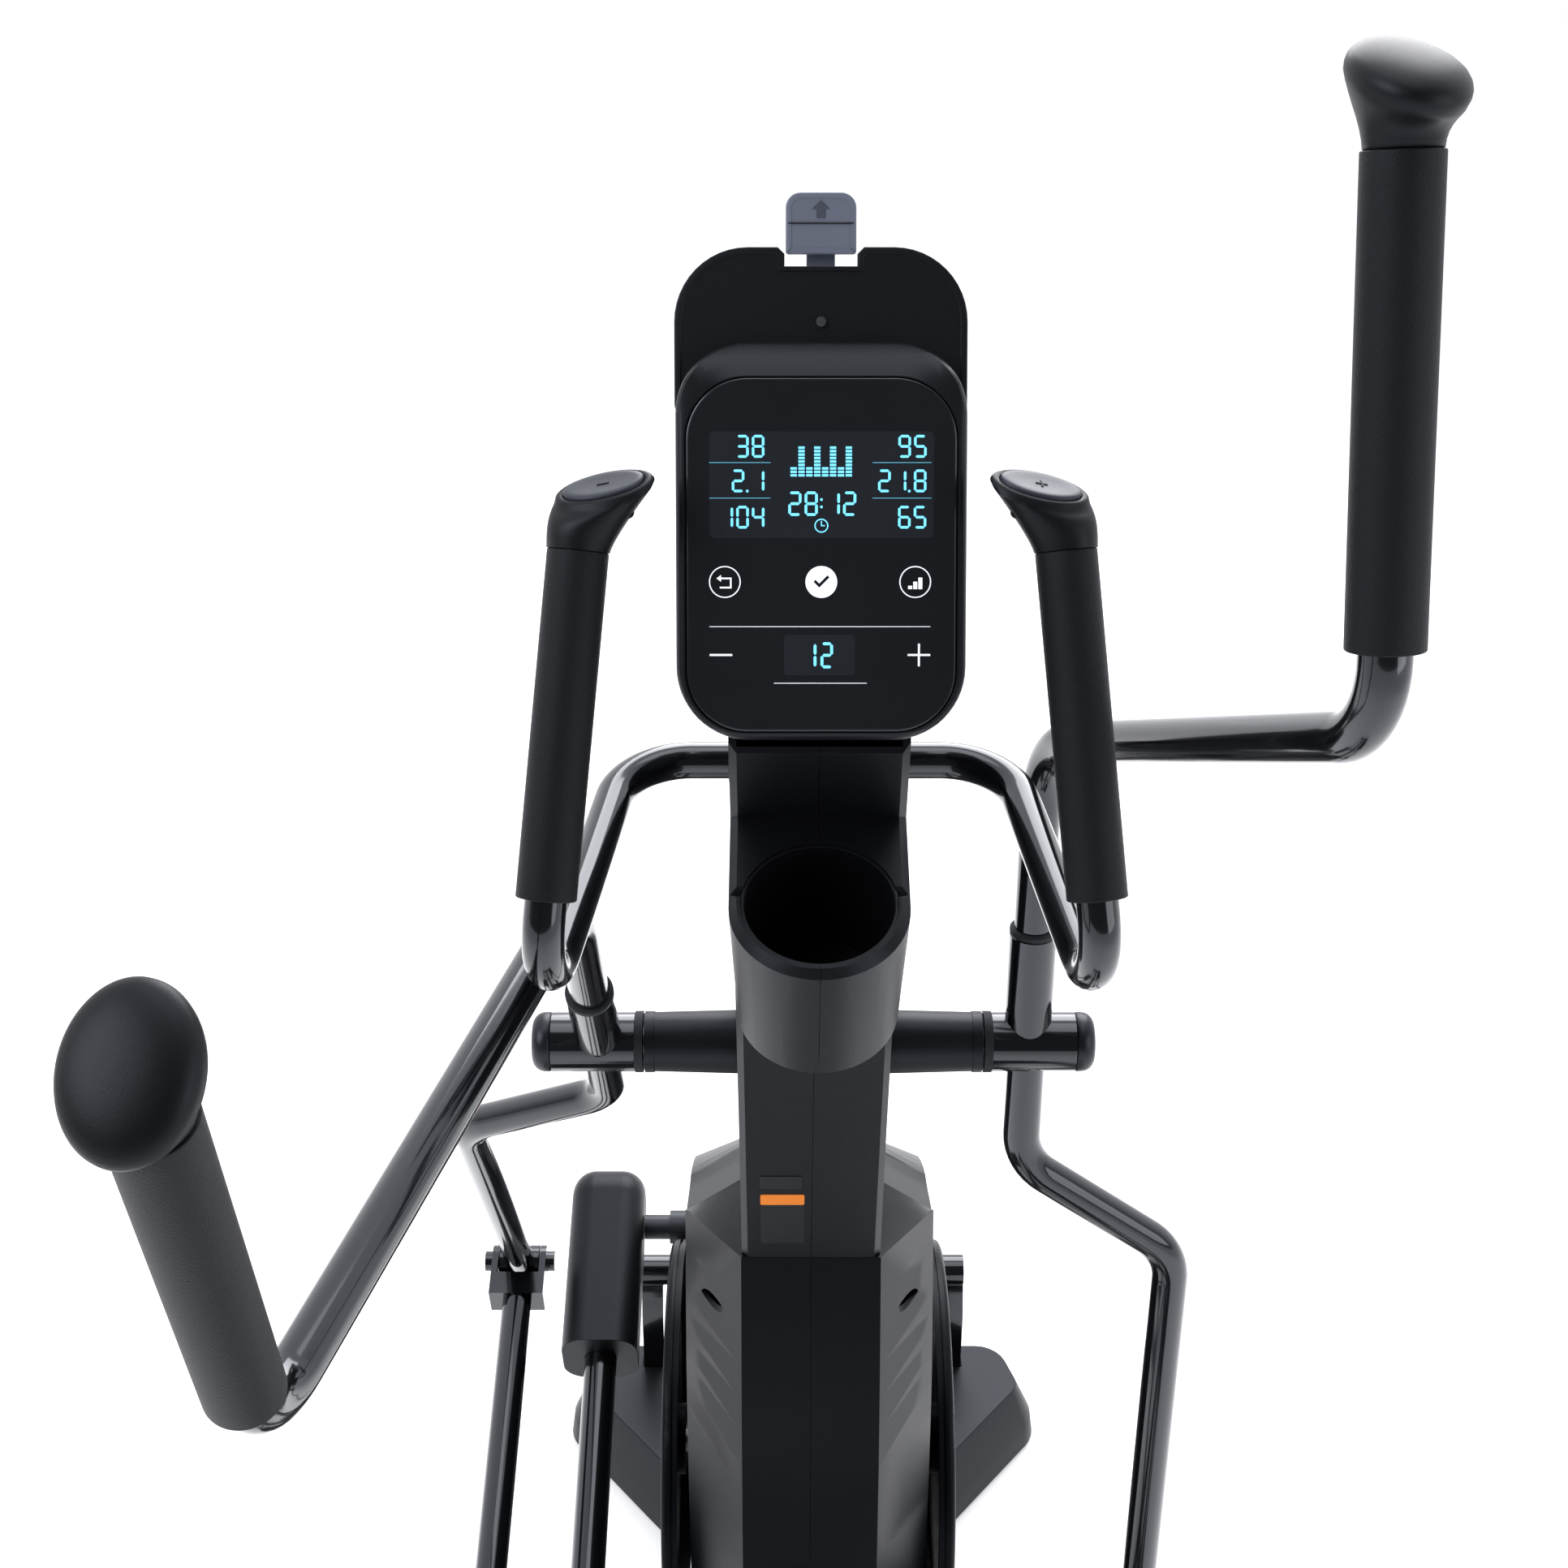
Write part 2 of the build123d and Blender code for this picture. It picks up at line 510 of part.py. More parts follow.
def mast_tube():
    """Bent steel mast inside the covers, from the floor beam to the console."""
    tube = mast_core()
    base = block(-48, 48, MAST_FOOT_Y - 40, MAST_FOOT_Y + 40, BEAM_Z[1] + 6, BEAM_Z[1] + 14)
    tube = tube + base
    tube -= cross_rod(0, PIVOT_Z, -60, 60, ARM_AXLE_DIAMETER)
    tube -= rod((-60, *HANDLE_CROSS[1:]), (60, *HANDLE_CROSS[1:]), HANDLE_TUBE)
    for side in SIDES.values():
        for y in (-28, 28):
            tube -= Pos(side * 39, MAST_FOOT_Y + y, 0) * extrude(Circle(4.2), 300)
    return tube


def fasteners():
    """Screw of the tablet rest and the four bolts of the mast's foot."""
    screw = CONSOLE * Pos(0, CONSOLE_HEIGHT + 12, REST_FRONT) * extrude(Circle(3), 2)
    bolts = [screw]
    for side in SIDES.values():
        for y in (-28, 28):
            place = Pos(side * 39, MAST_FOOT_Y + y, BEAM_Z[1] + 14)
            bolts.append(place * extrude(RegularPolygon(6.5, 6), 5.5))
    return bolts


def arm_axle():
    """Shaft through the mast that both swing arms turn on."""
    return cross_rod(0, PIVOT_Z, -SLEEVE_OUTER_X, SLEEVE_OUTER_X, ARM_AXLE_DIAMETER)


def axle_cover(side):
    """Tapered cover between the mast and a swing arm's sleeve."""
    place = Plane(origin=(side * (MAST_WIDTH / 2 - 4), 0, PIVOT_Z), z_dir=(side, 0, 0))
    length = 119 - MAST_WIDTH / 2 + 4
    cone = loft([place * Circle(AXLE_COVER_ROOT / 2), place * Pos(0, 0, length) * Circle(SLEEVE_DIAMETER / 2)])
    ring = cross_rod(0, PIVOT_Z, side * 119, side * (SLEEVE_INNER_X - 0.6), 46)
    return cone + ring - cross_rod(0, PIVOT_Z, -130, 130, ARM_AXLE_DIAMETER)


# --- Swing arms ---
def arm_pose(side_name):
    """Placement of a swing arm built at mid swing round the origin."""
    return PIVOT * Rot(X=REST[side_name]["arm"])


def arm_hub(side_name):
    """Pivot sleeve, socket for the upper tube and the lower tube down to its eye."""
    side = SIDES[side_name]
    eye = (ARM_EYE_X, *ARM_EYE)
    points = [(ARM_X, 0, 0), *ARM_LOWER_BENDS, eye]
    lower = bent_tube([mirrored(p, side) for p in points], ARM_LOWER_BEND_RADIUS, ARM_TUBE, ARM_WALL)
    top = Vector(*mirrored(ARM_UPPER_BEND, side)) - Vector(side * ARM_X, 0, 0)
    collar_end = Vector(side * ARM_X, 0, 0) + top.normalized() * COLLAR_TOP
    collar = rod((side * ARM_X, 0, 0), tuple(collar_end), COLLAR_DIAMETER)
    collar -= rod(tuple(top.normalized() * 26 + Vector(side * ARM_X, 0, 0)), tuple(collar_end), ARM_TUBE + 0.1)
    sleeve = cross_rod(0, 0, side * SLEEVE_INNER_X, side * SLEEVE_OUTER_X, SLEEVE_DIAMETER)
    x = side * ARM_EYE_X
    boss = cross_rod(*ARM_EYE, x - EYE_WIDTH / 2, x + EYE_WIDTH / 2, EYE_DIAMETER)
    hub = lower + collar + sleeve + boss
    hub -= cross_rod(0, 0, -250, 250, ARM_AXLE_DIAMETER + 2 * RUNNING)
    hub -= cross_rod(*ARM_EYE, x - EYE_WIDTH, x + EYE_WIDTH, EYE_PIN + 2 * RUNNING)
    return arm_pose(side_name) * hub


def arm_upper(side_name):
    """Bent upper tube, from its socket to the top of the grip."""
    side = SIDES[side_name]
    bend = Vector(*ARM_UPPER_BEND)
    socket = Vector(ARM_X, 0, 0) + (bend - Vector(ARM_X, 0, 0)).normalized() * 28
    points = [mirrored(tuple(p), side) for p in (socket, bend, Vector(*ARM_GRIP_BEND), Vector(*ARM_GRIP_TOP))]
    return arm_pose(side_name) * bent_tube(points, [ARM_BEND_RADIUS, ARM_GRIP_BEND_RADIUS], ARM_TUBE, ARM_WALL)


def grip_line(side):
    """Start and end of a swing arm's foam grip."""
    low, high = Vector(*mirrored(ARM_GRIP_BEND, side)), Vector(*mirrored(ARM_GRIP_TOP, side))
    return low + (high - low).normalized() * ARM_GRIP_START, high


def arm_grip(side_name):
    """Foam sleeve on a swing arm."""
    low, high = grip_line(SIDES[side_name])
    return arm_pose(side_name) * rod(tuple(low), tuple(high), ARM_GRIP_DIAMETER, ARM_TUBE)


def arm_knob(side_name):
    """Flared end knob of a swing arm."""
    low, high = grip_line(SIDES[side_name])
    place = Plane(origin=high, x_dir=(1, 0, 0), z_dir=high - low)
    wide, deep, tall = KNOB_SIZE
    back, out = KNOB_TILT
    sections = [(0.0, 39, 39, 0.0), (0.24, 42, 44, 0.3), (0.6, wide, deep, 1.0), (0.76, wide * 0.95, deep * 0.95, 1.0)]
    sections.append((0.94, wide * 0.5, deep * 0.5, 1.0))
    faces = []
    for up, w, d, lean in sections:
        turn = Rot(X=back * lean) * Rot(Y=SIDES[side_name] * out * lean)
        faces.append(place * Pos(0, 0, tall * up) * turn * Ellipse(w / 2, d / 2))
    return arm_pose(side_name) * loft(faces)


def arm_cap(side_name):
    """Domed end cap of a swing arm's sleeve."""
    side = SIDES[side_name]
    cap = cross_rod(0, 0, side * SLEEVE_OUTER_X, side * (SLEEVE_OUTER_X + 14), SLEEVE_DIAMETER)
    edge = cap.edges().filter_by(GeomType.CIRCLE).sort_by(Axis.X)[-1 if side > 0 else 0]
    return arm_pose(side_name) * fillet(edge, 9)


# --- Link bars, pedals and roller bars ---
def link_frame(side_name):
    """Frame at the rear link pin, +Y along the link bar."""
    rest = REST[side_name]
    return tilted(*rest["link_pin"], rest["link"])


def bar_frame(side_name):
    """Frame at the roller axle, +Y along the roller bar."""
    rest = REST[side_name]
    return tilted(*rest["axle"], rest["bar"])


def link_bar(side_name):
    """Link bar with its front clevis, clevis pin, pedal brackets and rear eye."""
    side = SIDES[side_name]
    x = side * ARM_EYE_X
    ear = EYE_WIDTH / 2 + 0.6
    bar = rod((x, 14, 0), (x, LINK_LENGTH - 34, 0), ARM_TUBE)
    clevis = block(x - ear - 6, x + ear + 6, LINK_LENGTH - 46, LINK_LENGTH - 22, -16, 16)
    for out in (-1, 1):
        x0, x1 = x + out * ear, x + out * (ear + 6)
        clevis += block(x0, x1, LINK_LENGTH - 24, LINK_LENGTH, -16, 16)
        clevis += cross_rod(LINK_LENGTH, 0, x0, x1, 32)
        clevis += cross_rod(LINK_LENGTH, 0, x + out * (ear + 6), x + out * (ear + 14), 20)
    clevis += cross_rod(LINK_LENGTH, 0, x - ear - 8, x + ear + 8, EYE_PIN)
    eye = cross_rod(0, 0, x - 15, x + 15, 34)
    first, last = [PEDAL_START + along for along in PEDAL_BRACKETS]
    bracket = block(x - 8, x + 8, first - 4, last + 28, 8, 20)
    for start in (first, last):
        bracket += block(side * PEDAL_X - side * 40, x, start, start + 24, 14, PEDAL_RAISE)
    return link_frame(side_name) * (bar + clevis + eye + bracket)


def pedal(side_name):
    """Foot tray with a raised rim, fixed on the link bar's brackets."""
    side = SIDES[side_name]
    x = side * PEDAL_X
    middle = Pos(x, PEDAL_START + PEDAL_LENGTH / 2, PEDAL_RAISE)
    outer = extrude(RectangleRounded(PEDAL_WIDTH, PEDAL_LENGTH, 45), 36)
    inner = Pos(0, 0, 9) * extrude(RectangleRounded(PEDAL_WIDTH - 10, PEDAL_LENGTH - 10, 40), 40)
    return link_frame(side_name) * middle * (outer - inner)


def roller_bar(side_name):
    """Tube from the crank pin to the roller, with a rear fork and the post of the rear link pin."""
    side = SIDES[side_name]
    x = side * ROLLER_BAR_X
    bar = rod((x, 58, 0), (x, ROLLER_BAR_LENGTH - 20, 0), ROLLER_BAR_DIAMETER)
    gap = ROLLER_WIDTH / 2 + 1.2
    fork = block(x - gap - 5, x + gap + 5, 44, 64, -15, 15)
    for out in (-1, 1):
        x0, x1 = x + out * gap, x + out * (gap + 5)
        fork += block(x0, x1, 0, 46, -15, 15)
        fork += cross_rod(0, 0, x0, x1, 30)
    fork -= cross_rod(0, 0, x - 40, x + 40, ROLLER_AXLE + 2 * RUNNING)
    hub = cross_rod(ROLLER_BAR_LENGTH, 0, x - 22, x + 22, 44)
    ahead, above = LINK_PIN_AHEAD, LINK_PIN_ABOVE
    outline = [(ahead - 24, 10), (ahead + 24, 10), (ahead + 14, above + 12), (ahead - 14, above + 12)]
    post = side_plate(outline, x - side * 6, x + side * 6)
    pin_end = side * (ARM_EYE_X - 15 - 0.8)
    post += cross_rod(ahead, above, x, pin_end, 20)
    return bar_frame(side_name) * (bar + fork + hub + post)


def bar_cap(side_name):
    """Rounded plastic cover over the roller bar's front hub."""
    side = SIDES[side_name]
    x0, x1 = side * BAR_CAP_X[0], side * BAR_CAP_X[1]
    half = BAR_CAP_HEIGHT / 2
    rear, front = ROLLER_BAR_LENGTH - BAR_CAP_BEHIND, ROLLER_BAR_LENGTH + BAR_CAP_AHEAD
    shape = block(x0, x1, rear, front, -half, half)
    shape = fillet(shape.edges().filter_by(Axis.X).group_by(Axis.Y)[-1], half - 1)
    shape = fillet(shape.edges().filter_by(Axis.Y), 24)
    x = side * ROLLER_BAR_X
    hollow = block(x0 + side * 4, x1 - side * 4, rear + 4, ROLLER_BAR_LENGTH + 24, -half + 12, half - 12)
    shape -= hollow
    shape -= rod((x, rear - 5, 0), (x, rear + 10, 0), ROLLER_BAR_DIAMETER + 0.2)
    return bar_frame(side_name) * shape


def roller_axle(side_name):
    """Axle that a roller and its bar turn on."""
    x = SIDES[side_name] * ROLLER_BAR_X
    half = ROLLER_WIDTH / 2 + 8
    return cross_rod(*REST[side_name]["axle"], x - half, x + half, ROLLER_AXLE)


def roller_wheel(side_name):
    """Grooveless roller that runs on its rail."""
    x = SIDES[side_name] * ROLLER_BAR_X
    half = ROLLER_WIDTH / 2
    bore = ROLLER_AXLE + 2 * RUNNING
    wheel = cross_rod(*REST[side_name]["axle"], x - half, x + half, 2 * ROLLER_RADIUS, bore)
    rims = wheel.edges().filter_by(GeomType.CIRCLE).group_by(SortBy.RADIUS)[-1]
    return fillet(rims, 3)


# --- Crank, belt and flywheel ---
def crank_axle():
    """Steel axle through the crank bearings."""
    return cross_rod(CRANK_Y, CRANK_Z, -DISC_INNER_X, DISC_INNER_X, CRANK_AXLE_DIAMETER)


def crank_bearings():
    """Two ball bearings as plain rings, seated in the frame plates."""
    rings = []
    for side in SIDES.values():
        middle = side * (PLATE_X[0] + PLATE_X[1]) / 2
        x0, x1 = middle - BEARING_WIDTH / 2, middle + BEARING_WIDTH / 2
        bore = CRANK_AXLE_DIAMETER + 2 * RUNNING
        rings.append(cross_rod(CRANK_Y, CRANK_Z, x0, x1, 2 * BEARING_OUTER_RADIUS, bore))
    return rings


def crank_arm(side):
    """Crank arm with its stepped pin."""
    inner, outer = CRANK_ARM_X
    angle = CRANK_START if side < 0 else CRANK_START + CRANK_STROKE
    web = Pos(CRANK_THROW / 2, 0) * Rectangle(CRANK_THROW, 36) + Circle(30) + Pos(CRANK_THROW, 0) * Circle(20)
    arm = extrude(web, outer - inner)
    arm -= extrude(Circle(CRANK_AXLE_DIAMETER / 2), 40)
    arm += Pos(CRANK_THROW, 0, 0) * extrude(Circle(PIN_BOSS_DIAMETER / 2), PIN_BOSS_X - inner)
    arm += Pos(CRANK_THROW, 0, 0) * extrude(Circle(PIN_DIAMETER / 2), PIN_END_X - inner)
    # the arm is drawn on a plane whose X is forward and whose normal points outwards
    place = Plane(origin=(0, 0, 0), x_dir=(0, 1, 0), z_dir=(side, 0, 0))
    turn = Rot(Z=angle if side > 0 else -angle)
    return Pos(side * inner, CRANK_Y, CRANK_Z) * (place * turn * arm)


def crank_arms():
    """Both crank arms, half a turn apart."""
    return [crank_arm(side) for side in SIDES.values()]


def crank_discs():
    """Round covers with a grooved rim that turn with the crank arms."""
    discs = []
    depth = DISC_OUTER_X - DISC_INNER_X
    for side in SIDES.values():
        place = Plane(origin=(side * DISC_INNER_X, CRANK_Y, CRANK_Z), z_dir=(side, 0, 0))
        disc = extrude(place * Circle(DISC_RADIUS), depth)
        rim = disc.edges().filter_by(GeomType.CIRCLE).sort_by(Axis.X)[-1 if side > 0 else 0]
        disc = fillet(rim, 6)
        disc -= extrude(place * Circle(DISC_RADIUS - 9), depth - 4)
        disc += extrude(place * Circle(34), depth - 4)
        groove = place * Pos(0, 0, 4) * extrude(Circle(DISC_RADIUS + 1) - Circle(DISC_RADIUS - 3), 2.4)
        discs.append(disc - groove)
    return discs


def drive_pulley():
    """Large belt pulley on the crank axle."""
    x0, x1 = PULLEY_X - PULLEY_WIDTH / 2, PULLEY_X + PULLEY_WIDTH / 2
    pulley = cross_rod(CRANK_Y, CRANK_Z, x0, x1, 2 * DRIVE_PULLEY_RADIUS, CRANK_AXLE_DIAMETER)
    for step in range(6):
        angle = radians(60 * step)
        hole = (CRANK_Y + 66 * cos(angle), CRANK_Z + 66 * sin(angle))
        pulley -= cross_rod(*hole, x0 - 1, x1 + 1, 44)
    return pulley


def flywheel():
    """Flywheel with its small belt pulley."""
    x1 = PULLEY_X - PULLEY_WIDTH
    x0 = x1 - FLYWHEEL_WIDTH
    wheel = cross_rod(FLYWHEEL_Y, FLYWHEEL_Z, x0, x1, 2 * FLYWHEEL_RADIUS)
    end = PULLEY_X + PULLEY_WIDTH / 2
    wheel += cross_rod(FLYWHEEL_Y, FLYWHEEL_Z, x1, end, 2 * SMALL_PULLEY_RADIUS)
    return wheel - cross_rod(FLYWHEEL_Y, FLYWHEEL_Z, x0 - 1, end + 1, INNER_AXLE + 2 * RUNNING)


def idler_pulley():
    """Idler that keeps the belt tight."""
    x0, x1 = PULLEY_X - PULLEY_WIDTH / 2, PULLEY_X + PULLEY_WIDTH / 2
    return cross_rod(*idler_place(), x0, x1, 2 * IDLER_RADIUS, INNER_AXLE + 2 * RUNNING)


def inner_axles():
    """Fixed axles of the flywheel and the idler."""
    end = PLATE_X[1] + 3
    places = ((FLYWHEEL_Y, FLYWHEEL_Z), idler_place())
    return [cross_rod(y, z, -end, end, INNER_AXLE) for y, z in places]


def drive_belt():
    """Flat belt round both pulleys, on their common tangents."""
    distance, slope, _ = belt_line()

    def loop(extra):
        big, small = DRIVE_PULLEY_RADIUS + GAP + extra, SMALL_PULLEY_RADIUS + GAP + extra
        lean = (big - small) / distance
        rise = sqrt(1 - lean * lean)
        flank = Polyline(
            (big * lean, big * rise),
            (distance + small * lean, small * rise),
            (distance + small * lean, -small * rise),
            (big * lean, -big * rise),
            close=True,
        )
        return make_face(flank) + Circle(big) + Pos(distance, 0) * Circle(small)

    band = Rot(Z=slope) * (loop(BELT_THICK) - loop(0))
    x0 = PULLEY_X - PULLEY_WIDTH / 2 + 1
    plane = Plane(origin=(x0, CRANK_Y, CRANK_Z), x_dir=(0, 1, 0), z_dir=(1, 0, 0))
    return extrude(plane * band, PULLEY_WIDTH - 2)


def magnet_bracket():
    """Curved brake shoe with magnets that swings towards the flywheel's rim."""
    x1 = PULLEY_X - PULLEY_WIDTH
    x0 = x1 - FLYWHEEL_WIDTH
    inner = FLYWHEEL_RADIUS + 5
    ring = Circle(inner + BRAKE_SHOE) - Circle(inner)
    sector = make_face(Polyline((0, 0), (220, -20), (220, 130), (0, 0)))
    plane = Plane(origin=(x0, FLYWHEEL_Y, FLYWHEEL_Z), x_dir=(0, 1, 0), z_dir=(1, 0, 0))
    shoe = extrude(plane * (ring & sector), x1 - x0)
    return shoe + cross_rod(*BRAKE_PIVOT, x0, x1, 16)


# --- Housing ---
def housing_outlines(inset=0.0):
    """Side outlines of the housing: on the middle facet's edge and on the side walls."""
    middle = [*smooth_line(HOUSING_REAR), *smooth_line(HOUSING_FRONT)]
    low, high = HOUSING_SHOULDER_Z
    rear_count = len(smooth_line(HOUSING_REAR))
    outer = []
    for i, (y, z) in enumerate(middle):
        share = min(max((z - low) / (high - low), 0), 1)
        back = HOUSING_SIDE_BACK if i < rear_count else -30 * (1 - share)
        outer.append((y + back, z - HOUSING_SHOULDER * share**1.5))
    return inset_line(middle, inset), inset_line(outer, inset)


def housing_solid(inset=0.0):
    """Housing block with slanted rear facets and shoulders, shrunk inwards by the inset."""
    middle, outer = housing_outlines(inset)
    return faceted(middle, outer, HOUSING_FACET - inset / 2, HOUSING_HALF_WIDTH - inset)


def shoulder_slot(side):
    """Eye-shaped slot through a rear facet of the housing."""
    eye = Pos(0, SLOT_HALF_GAP) * Circle(SLOT_ARC) & Pos(0, -SLOT_HALF_GAP) * Circle(SLOT_ARC)
    place = Pos(side * SLOT_PLACE[0], *SLOT_PLACE[1:]) * Rot(X=90) * Rot(Z=side * SLOT_TURN)
    return place * extrude(eye, 40, both=True)


def housings():
    """Left and right housing shells with an axle hole, mast opening and shoulder slots."""
    shell = housing_solid() - housing_solid(HOUSING_WALL)
    shell -= cross_rod(CRANK_Y, CRANK_Z, -200, 200, 70)
    shell -= mast_outer(GAP)
    shell -= block(-70, 70, -100, 485, 0, 182)
    for side in SIDES.values():
        shell -= shoulder_slot(side)
    return {
        "left": shell & block(-200, -SEAM, -500, 900, 0, 2000),
        "right": shell & block(SEAM, 200, -500, 900, 0, 2000),
    }


# --- Console ---
def console_bezel():
    """Front shell of the console with a seat for the glass."""
    middle = CONSOLE_HEIGHT / 2
    outer = extrude(RectangleRounded(CONSOLE_WIDTH, CONSOLE_HEIGHT, CONSOLE_CORNER), BEZEL_DEPTH)
    outer = chamfer(outer.edges().group_by(Axis.Z)[-1], 3)
    shell = outer - extrude(RectangleRounded(CONSOLE_WIDTH - 6, CONSOLE_HEIGHT - 6, CONSOLE_CORNER - 3), BEZEL_DEPTH - 6)
    seat = GLASS_THICK
    shell -= Pos(0, GLASS_DROP, BEZEL_DEPTH - seat) * extrude(
        RectangleRounded(GLASS_WIDTH, GLASS_HEIGHT, CONSOLE_CORNER - 6), 10
    )
    return CONSOLE * Pos(0, middle, -BEZEL_DEPTH) * shell


def console_glass():
    """Glass over the display and the touch keys."""
    pane = extrude(RectangleRounded(GLASS_WIDTH, GLASS_HEIGHT, CONSOLE_CORNER - 6), GLASS_THICK)
    return CONSOLE * Pos(0, CONSOLE_HEIGHT / 2 + GLASS_DROP, -GLASS_THICK) * pane


def console_back():
    """Rear shell of the console with its neck on the mast."""
    place = CONSOLE * Pos(0, CONSOLE_HEIGHT / 2, -BEZEL_DEPTH)
    wide, tall, corner = CONSOLE_WIDTH - 2, CONSOLE_HEIGHT - 2, CONSOLE_CORNER - 1
    front = RectangleRounded(wide, tall, corner)
    back = Pos(0, -10, -CONSOLE_BACK_DEPTH) * RectangleRounded(wide - 40, tall - 60, corner - 14)
    shell = loft([front, back])
    hollow = loft([scale(front, 0.96), Pos(0, -10, -CONSOLE_BACK_DEPTH + 3) * RectangleRounded(wide - 48, tall - 68, corner - 18)])
    shell -= hollow
    behind_rest = Pos(0, CONSOLE_HEIGHT / 2 - 48 + 60, REST_FRONT + BEZEL_DEPTH - 40) * Box(200, 120, 80)
    return place * (shell - behind_rest)


def tablet_rest():
    """Plate behind the console that a tablet leans on, with a notch for the clip."""
    low = CONSOLE_HEIGHT - 46
    tall = REST_TOP - low
    plate = Pos(0, low + tall / 2, REST_FRONT - REST_THICK)
    face = RectangleRounded(REST_WIDTH, tall, 44)
    solid = plate * extrude(face, REST_THICK)
    notch = Pos(0, REST_TOP - 5, REST_FRONT - 3.2) * Box(CLIP_WIDTH + 1, 12, 8)
    rib = Pos(0, low + tall / 2 + 10, REST_FRONT - REST_THICK - 6) * Box(26, tall - 40, 12)
    slot = Pos(0, low + tall / 2 + 20, REST_FRONT - REST_THICK - 6) * Box(18, tall, 5)
    return CONSOLE * (solid - notch + rib - slot)


def tablet_clip():
    """Spring clip that slides up behind a tablet's top edge."""
    stem = Pos(0, REST_TOP - 30, REST_FRONT - REST_THICK - 6) * Box(17, 74, 4)
    head = Pos(0, REST_TOP + 14, REST_FRONT - 3) * Box(CLIP_WIDTH, 36, 5)
    joint = Pos(0, REST_TOP + 7.5, REST_FRONT - 7.5) * Box(17, 4, 12)
    return CONSOLE * (stem + head + joint)


# --- Fixed handlebar ---
def handlebar_points():
    """Corners of the fixed handlebar, left end to right end."""
    top = Vector(*HANDLE_GRIP_TOP)
    half = [top, Vector(*HANDLE_TURN), Vector(HANDLE_CORNER_X, *HANDLE_CROSS[1:])]
    right = [tuple(p) for p in half]
    left = [mirrored(p, -1) for p in right]
    return [*left, *reversed(right)]


def fixed_handlebar():
    """One bent tube through the mast with an upright at each end."""
    radii = [HANDLE_TURN_RADIUS, HANDLE_CORNER_RADIUS, HANDLE_CORNER_RADIUS, HANDLE_TURN_RADIUS]
    return bent_tube(handlebar_points(), radii, HANDLE_TUBE, 2.0)


def fixed_line(side):
    """Bottom and top of a fixed grip."""
    top, turn = Vector(*mirrored(HANDLE_GRIP_TOP, side)), Vector(*mirrored(HANDLE_TURN, side))
    return top - (top - turn).normalized() * HANDLE_GRIP_LENGTH, top


def fixed_grips():
    """Foam sleeves of the fixed handlebar."""
    ends = [fixed_line(side) for side in SIDES.values()]
    return [rod(tuple(low), tuple(top), HANDLE_GRIP_DIAMETER, HANDLE_TUBE) for low, top in ends]


def head_frame(side):
    """Frame on top of a fixed grip, +Z along the grip, leaning inwards above it."""
    low, top = fixed_line(side)
    return Plane(origin=top, x_dir=(1, 0, 0), z_dir=top - low)


def button_frame(side):
    """Frame of the thumb button's seat, +Z out of the seat."""
    inwards, forward, up = HEAD_REACH
    back, out = HEAD_TILT
    return head_frame(side) * Pos(-side * inwards, forward, up) * Rot(X=back) * Rot(Y=side * out)


def fixed_head(side):
    """Head of a fixed grip, with the seat of its thumb button."""
    place = head_frame(side)
    faces = [
        place * Circle(18.6),
        place * Pos(-side * 2, 0, 12) * Rot(Y=side * 5) * Ellipse(20.5, 19.5),
        button_frame(side) * Pos(0, 0, -8) * Ellipse(31, 21),
        button_frame(side) * Ellipse(29, 19),
    ]
    head = loft(faces)
    wide, deep, tall = BUTTON_SIZE
    return head - button_frame(side) * Pos(0, 0, -tall) * extrude(Ellipse(wide / 2 + GAP, deep / 2 + GAP), tall + 3)


def thumb_button(side):
    """Elliptical thumb button, proud of its seat by its travel."""
    wide, deep, tall = BUTTON_SIZE
    pad = extrude(Ellipse(wide / 2, deep / 2), tall)
    return button_frame(side) * Pos(0, 0, -tall + BUTTON_TRAVEL + 0.4) * pad


